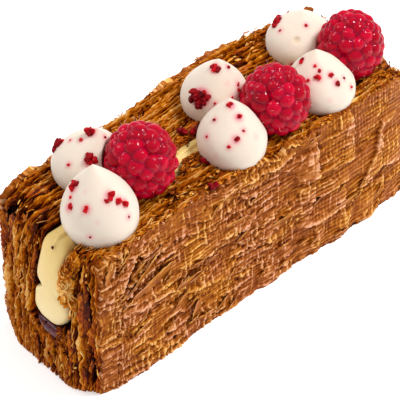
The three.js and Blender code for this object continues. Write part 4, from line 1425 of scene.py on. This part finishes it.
def ball(divisions):
    """Directions spread over a ball and the triangles between them, from a divided icosahedron."""
    golden = (1 + math.sqrt(5)) / 2
    corners = [(a, b * golden, 0) for a in (-1, 1) for b in (-1, 1)]
    corners = np.array([c[n:] + c[:n] for n in range(3) for c in corners])
    edge = 2.0
    near = np.abs(np.linalg.norm(corners[:, None] - corners[None], axis=-1) - edge) < 1e-6
    sides = [
        (a, b, c) for a, b, c in itertools.combinations(range(12), 3) if near[a, b] and near[b, c] and near[a, c]
    ]
    directions, triangles, known = [], [], {}
    for a, b, c in sides:
        if np.dot(corners[a], np.cross(corners[b], corners[c])) < 0:
            b, c = c, b
        index = {}
        for i in range(divisions + 1):
            for j in range(divisions + 1 - i):
                point = corners[a] * (divisions - i - j) + corners[b] * i + corners[c] * j
                key = tuple(np.round(point, 6) + 0.0)
                if key not in known:
                    known[key] = len(directions)
                    directions.append(point)
                index[i, j] = known[key]
        for i in range(divisions):
            for j in range(divisions - i):
                triangles.append((index[i, j], index[i + 1, j], index[i, j + 1]))
                if i + j < divisions - 1:
                    triangles.append((index[i + 1, j], index[i + 1, j + 1], index[i, j + 1]))
    return unit(np.array(directions, float)), np.array(triangles)


LUMP_DIRECTIONS, LUMP_FACES = ball(3)


def lump(centre, size, seed):
    """One sharp-edged lump of dried fruit: a dented block at a random turn."""
    shift = seed * 1.7
    x, y, z = LUMP_DIRECTIONS.T
    blocky = 0.86 / (x**6 + y**6 + z**6) ** (1 / 6)
    uneven = blocky * (1 + 0.3 * noise(61, x * 1.6 + shift, y * 1.6, z * 1.6) + 0.2 * noise(62, x * 4 + shift, y * 4))
    stretch = 1 + 0.3 * np.array([noise(63, seed * 0.9), noise(64, seed * 0.9), noise(65, seed * 0.9)])
    turn, _ = np.linalg.qr(rng.normal(0, 1, (3, 3)))
    turn *= np.sign(np.linalg.det(turn))
    return centre + (LUMP_DIRECTIONS * (size / 2 * uneven)[:, None] * stretch) @ turn, LUMP_FACES


def crumb_lumps(centre, size, seed, out):
    """A crumb: one lump, or several close together if it is large. They keep to the surface that faces `out`."""
    count = 1 if size < 1 else 2 if size < 2.2 else 4 if size < 4 else 24
    scatter = rng.normal(0, 1, (count, 3)).clip(-1.5, 1.5) * size * 0.22 * (count > 1)
    if size == HUGE:
        scatter *= [1.15, 1.15, 0.6]
    scatter -= 0.7 * (scatter @ out)[:, None] * out
    share = {1: 1.0, 2: 0.74, 4: 0.58, 24: 0.28}[count]
    return [lump(centre + scatter[n], size * share * rng.uniform(0.8, 1.2), seed + n) for n in range(count)]


def make_crumbs():
    """Bodies of all crumbs, how dark each is, and for each kiss its crumbs' places and sizes."""
    bodies, darks, places = [], [], {}
    for name, crumbs in CRUMBS.items():
        places[name] = []
        for number, (degrees, share, size) in enumerate(crumbs):
            centre = kiss_point(name, np.array(math.radians(degrees)), np.array(share))
            out = unit(centre - kiss_point(name, 0.0, 0.25) + [KISSES[name][1] * kiss_width(0.25), 0, 0])
            lumps = crumb_lumps(centre, size, 20 * len(bodies) + number, out)
            bodies += lumps
            darks += [rng.uniform(0.4, 1) if size == HUGE else rng.uniform(0, 0.8) for _ in lumps]
            places[name].append((centre, size))
    for number, (x, y, z, size) in enumerate(GAP_CRUMBS):
        lumps = crumb_lumps(np.array([x, y, z]), size, 5000 + 20 * number, np.array([0, 0, 1.0]))
        bodies += lumps
        darks += [rng.uniform(0.3, 1) for _ in lumps]
    return bodies, darks, places


crumb_bodies, crumb_darks, crumb_places = make_crumbs()
crumb_dark = np.repeat(crumb_darks, len(LUMP_DIRECTIONS))
crumbs = add_piece("fruit_crumbs", *joined(crumb_bodies), crisp=True, dark=crumb_dark)

# %% Kisses with their halos
HALO_REACH = 0.55
# kiss, bearing in degrees, share of its height, size: faint stains where a crumb rolled off
STAINS = [
    ("kiss_1_front", 228, 0.45, 0.9),
    ("kiss_1_front", 196, 0.74, 0.8),
    ("kiss_2_front", 200, 0.3, 0.9),
    ("kiss_2_front", 280, 0.5, 1.2),
    ("kiss_2_back", 260, 0.7, 1.0),
    ("kiss_3_front", 240, 0.35, 1.0),
]


def halo_of(name, points):
    """How pink the cream is at each point, from 0 to 1."""
    pink = np.zeros(len(points))
    for centre, size in crumb_places[name]:
        beyond = np.linalg.norm(points - centre, axis=-1) - 0.42 * size
        pink = np.maximum(pink, np.exp(-np.clip(beyond, 0, None) / HALO_REACH))
    for owner, degrees, share, size in STAINS:
        if owner == name:
            centre = kiss_point(name, np.array(math.radians(degrees)), np.array(share))
            pink = np.maximum(pink, 0.3 * np.exp(-((np.linalg.norm(points - centre, axis=-1) / size) ** 2)))
    return pink


kiss_pieces = {}
for name, rings in kiss_forms.items():
    points, quads = loft(rings)
    dip = dimple_at(name, points)
    kiss_pieces[name] = add_piece(name + "_piped", points, quads, halo=halo_of(name, points), dip=dip)

# %% Their finishes
def cream_finish():
    finish = Finish("piped_cream", Roughness=0.5, Specular_IOR_Level=0.15)
    finish.set(Subsurface_Weight=0.3, Subsurface_Radius=(1, 0.85, 0.7), Subsurface_Scale=0.003)
    pink = finish.clamped(finish.value("halo") * (0.55 + finish.grain(0.8, detail=2) * 0.7) - 0.05)
    cream = finish.mix(finish.grain(5, detail=2), tint("e9dac8"), tint("efe1d2"))
    stained = finish.mix(pink, cream, tint("f08c98"))
    # painted shade: inside the dimple the cream is mixed towards a darker beige.
    finish.set(Base_Color=finish.mix(finish.value("dip") * 0.7, stained, tint("d9bf98")))
    finish.set(Normal=finish.bump(finish.grain(1.1), 0.04, 0.4))
    return finish


def crumb_finish():
    finish = Finish("dried_fruit", Roughness=0.5, Specular_IOR_Level=0.12)
    shade = finish.value("dark") * 0.8 + (finish.grain(0.5, detail=3) - 0.5) * 0.7 + 0.1
    finish.set(Base_Color=finish.ramp(shade, (0.0, "d80c1c"), (0.35, "b00012"), (0.9, "480008")))
    return finish


piped_cream = cream_finish()
for name, piece in kiss_pieces.items():
    dress(piece, piped_cream, "cream", name)
dress(crumbs, crumb_finish(), "raspberry")

# %% [markdown]
# ## The raspberries
# A raspberry is a thimble of some eighty drupelets, each a small wet ball pressed against its neighbours,
# with a crease between and a dry thread of the flower's style on many. Seen from the berry's middle, the
# surface in any direction is the furthest of the drupelets' balls, so one dense ball of points can be
# pushed out to it, which keeps the creases sharp.

# %% Drupelets
DRUPELETS = 84
DRUPELET_RADIUS = 2.45
BALL_DIRECTIONS, BALL_FACES = ball(46)


def drupelet_middles(seed):
    """Directions of the drupelets, evenly spread and then jogged a little."""
    golden = math.pi * (3 - math.sqrt(5))
    k = np.arange(DRUPELETS)
    z = 1 - (2 * k + 1) / DRUPELETS
    across = np.sqrt(1 - z * z)
    turn = golden * k + seed
    spread = np.column_stack([across * np.cos(turn), across * np.sin(turn), z])
    return unit(spread + rng.normal(0, 0.065, spread.shape))


def berry_form(name, seed):
    """Points of a berry, the crease at each, each drupelet's shade, and the drupelets' middles and radii."""
    _, radius, half = BERRIES[name]
    middles = drupelet_middles(seed)
    ball_radius = DRUPELET_RADIUS * rng.uniform(0.84, 1.14, DRUPELETS)
    taper = 1 - 0.06 * middles[:, 2:3]
    centres = middles * np.hstack([radius * taper, radius * taper, np.full_like(taper, half)])
    centres *= 1 - (ball_radius / np.linalg.norm(centres, axis=1))[:, None]
    best = np.full(len(BALL_DIRECTIONS), 0.62 * radius)
    second = best.copy()
    owner = np.zeros(len(BALL_DIRECTIONS), int)
    for number, (centre, r) in enumerate(zip(centres, ball_radius)):
        along = BALL_DIRECTIONS @ centre
        inside = r * r - (centre @ centre - along**2)
        reach = np.where(inside > 0, along + np.sqrt(np.maximum(inside, 0)), 0)
        second = np.maximum(second, np.minimum(best, reach))
        owner = np.where(reach > best, number, owner)
        best = np.maximum(best, reach)
    crease = np.exp(-(best - second) / 0.35)
    shade = rng.uniform(0, 1, DRUPELETS)[owner]
    points = berry_middle(name) + BALL_DIRECTIONS * best[:, None]
    return points, crease, shade, berry_middle(name) + centres, ball_radius


def hair_body(root, direction, length, bend):
    """A dry thread: four-sided, tapering, a little bent."""
    t = np.linspace(0, 1, 5)
    side = unit(np.cross(direction, bend))
    other = np.cross(direction, side)
    spine = root + direction * (t * length)[:, None] + bend * (0.35 * length * t**2)[:, None]
    radius = 0.055 * (1 - 0.6 * t)
    corners = np.linspace(0, 2 * math.pi, 4, endpoint=False)
    rings = [spine + radius[:, None] * (side * math.cos(a) + other * math.sin(a)) for a in corners]
    return loft(np.stack(rings, axis=1))


def make_hairs(name, centres, radii):
    middle = berry_middle(name)
    bodies = []
    for centre, radius in zip(centres, radii):
        out = unit(centre - middle)
        if out[2] < -0.5 or rng.uniform() < 0.25:
            continue
        direction = unit(out + rng.normal(0, 0.25, 3))
        length, bend = rng.uniform(0.8, 1.8), rng.normal(0, 0.6, 3)
        bodies.append(hair_body(centre + out * radius * 0.96, direction, length, bend))
    return joined(bodies)


berry_pieces, hair_bodies = {}, []
for number, name in enumerate(BERRIES):
    points, crease, shade, centres, radii = berry_form(name, 0.4 + 1.5 * number)
    points[:, 2] = np.maximum(points[:, 2], HEIGHT - BERRY_SINK - 0.2)
    berry_pieces[name] = add_piece(name + "_fruit", points, BALL_FACES, crease=crease, shade=shade)
    hair_bodies.append(make_hairs(name, centres, radii))
hairs = add_piece("raspberry_threads", *joined(hair_bodies))

# %% Their finishes
def berry_finish():
    finish = Finish("raspberry_skin", Specular_IOR_Level=0.01, Coat_Weight=0.32, Coat_Roughness=0.035)
    finish.set(Subsurface_Weight=0.35, Subsurface_Radius=(1, 0.05, 0.05), Subsurface_Scale=0.0015)
    patch = finish.grain(3.5, detail=2)
    crease = finish.value("crease") + (patch - 0.5) * 0.3
    # painted shade and reflection: the creases between drupelets are painted dark red, with a pinker band just before
    # them as a painted reflection.
    flesh_and_crease_shade = finish.ramp(crease, (0.0, "c8002e"), (0.4, "ae0026"), (0.62, "c4063e"), (0.86, "78001a"))
    deeper = finish.ramp(finish.value("shade"), (0, "cc909c"), (1, "ffffff"))
    finish.set(Base_Color=finish.mix(0.8, flesh_and_crease_shade, deeper, "MULTIPLY"))
    finish.set(Roughness=0.2 + finish.grain(0.7) * 0.14)
    finish.set(Normal=finish.bump(finish.grain(0.35, detail=2), 0.03, 0.4))
    return finish


raspberry_skin = berry_finish()
for name, piece in berry_pieces.items():
    dress(piece, raspberry_skin, "raspberry", name)

threads = Finish("dry_threads", Roughness=0.6)
thread_colour = threads.mix(threads.grain(0.8), tint("c0686a"), tint("f0d0bc"))
threads.set(Base_Color=thread_colour)
dress(hairs, threads, "raspberry")

# %% [markdown]
# ## The floor
# A plain white surface, which is only a stage and not part of the slice.

# %% Floor
FLOOR_HALF = 1.5
floor_points = np.array([(a, b, 0.0) for a, b in ((-1, -1), (1, -1), (1, 1), (-1, 1))])
floor_mesh = bpy.data.meshes.new("floor")
floor_mesh.from_pydata((floor_points * FLOOR_HALF).tolist(), [], [(0, 1, 2, 3)])
floor = bpy.data.objects.new("floor", floor_mesh)
bpy.context.scene.collection.objects.link(floor)
floor_finish = Finish("white_table", Roughness=0.9, Specular_IOR_Level=0.1)
floor_finish.set(Base_Color=(0.92, 0.92, 0.92, 1))
floor_finish.set(Emission_Color=(1, 1, 1, 1), Emission_Strength=0.45)
floor_mesh.materials.append(floor_finish.material)
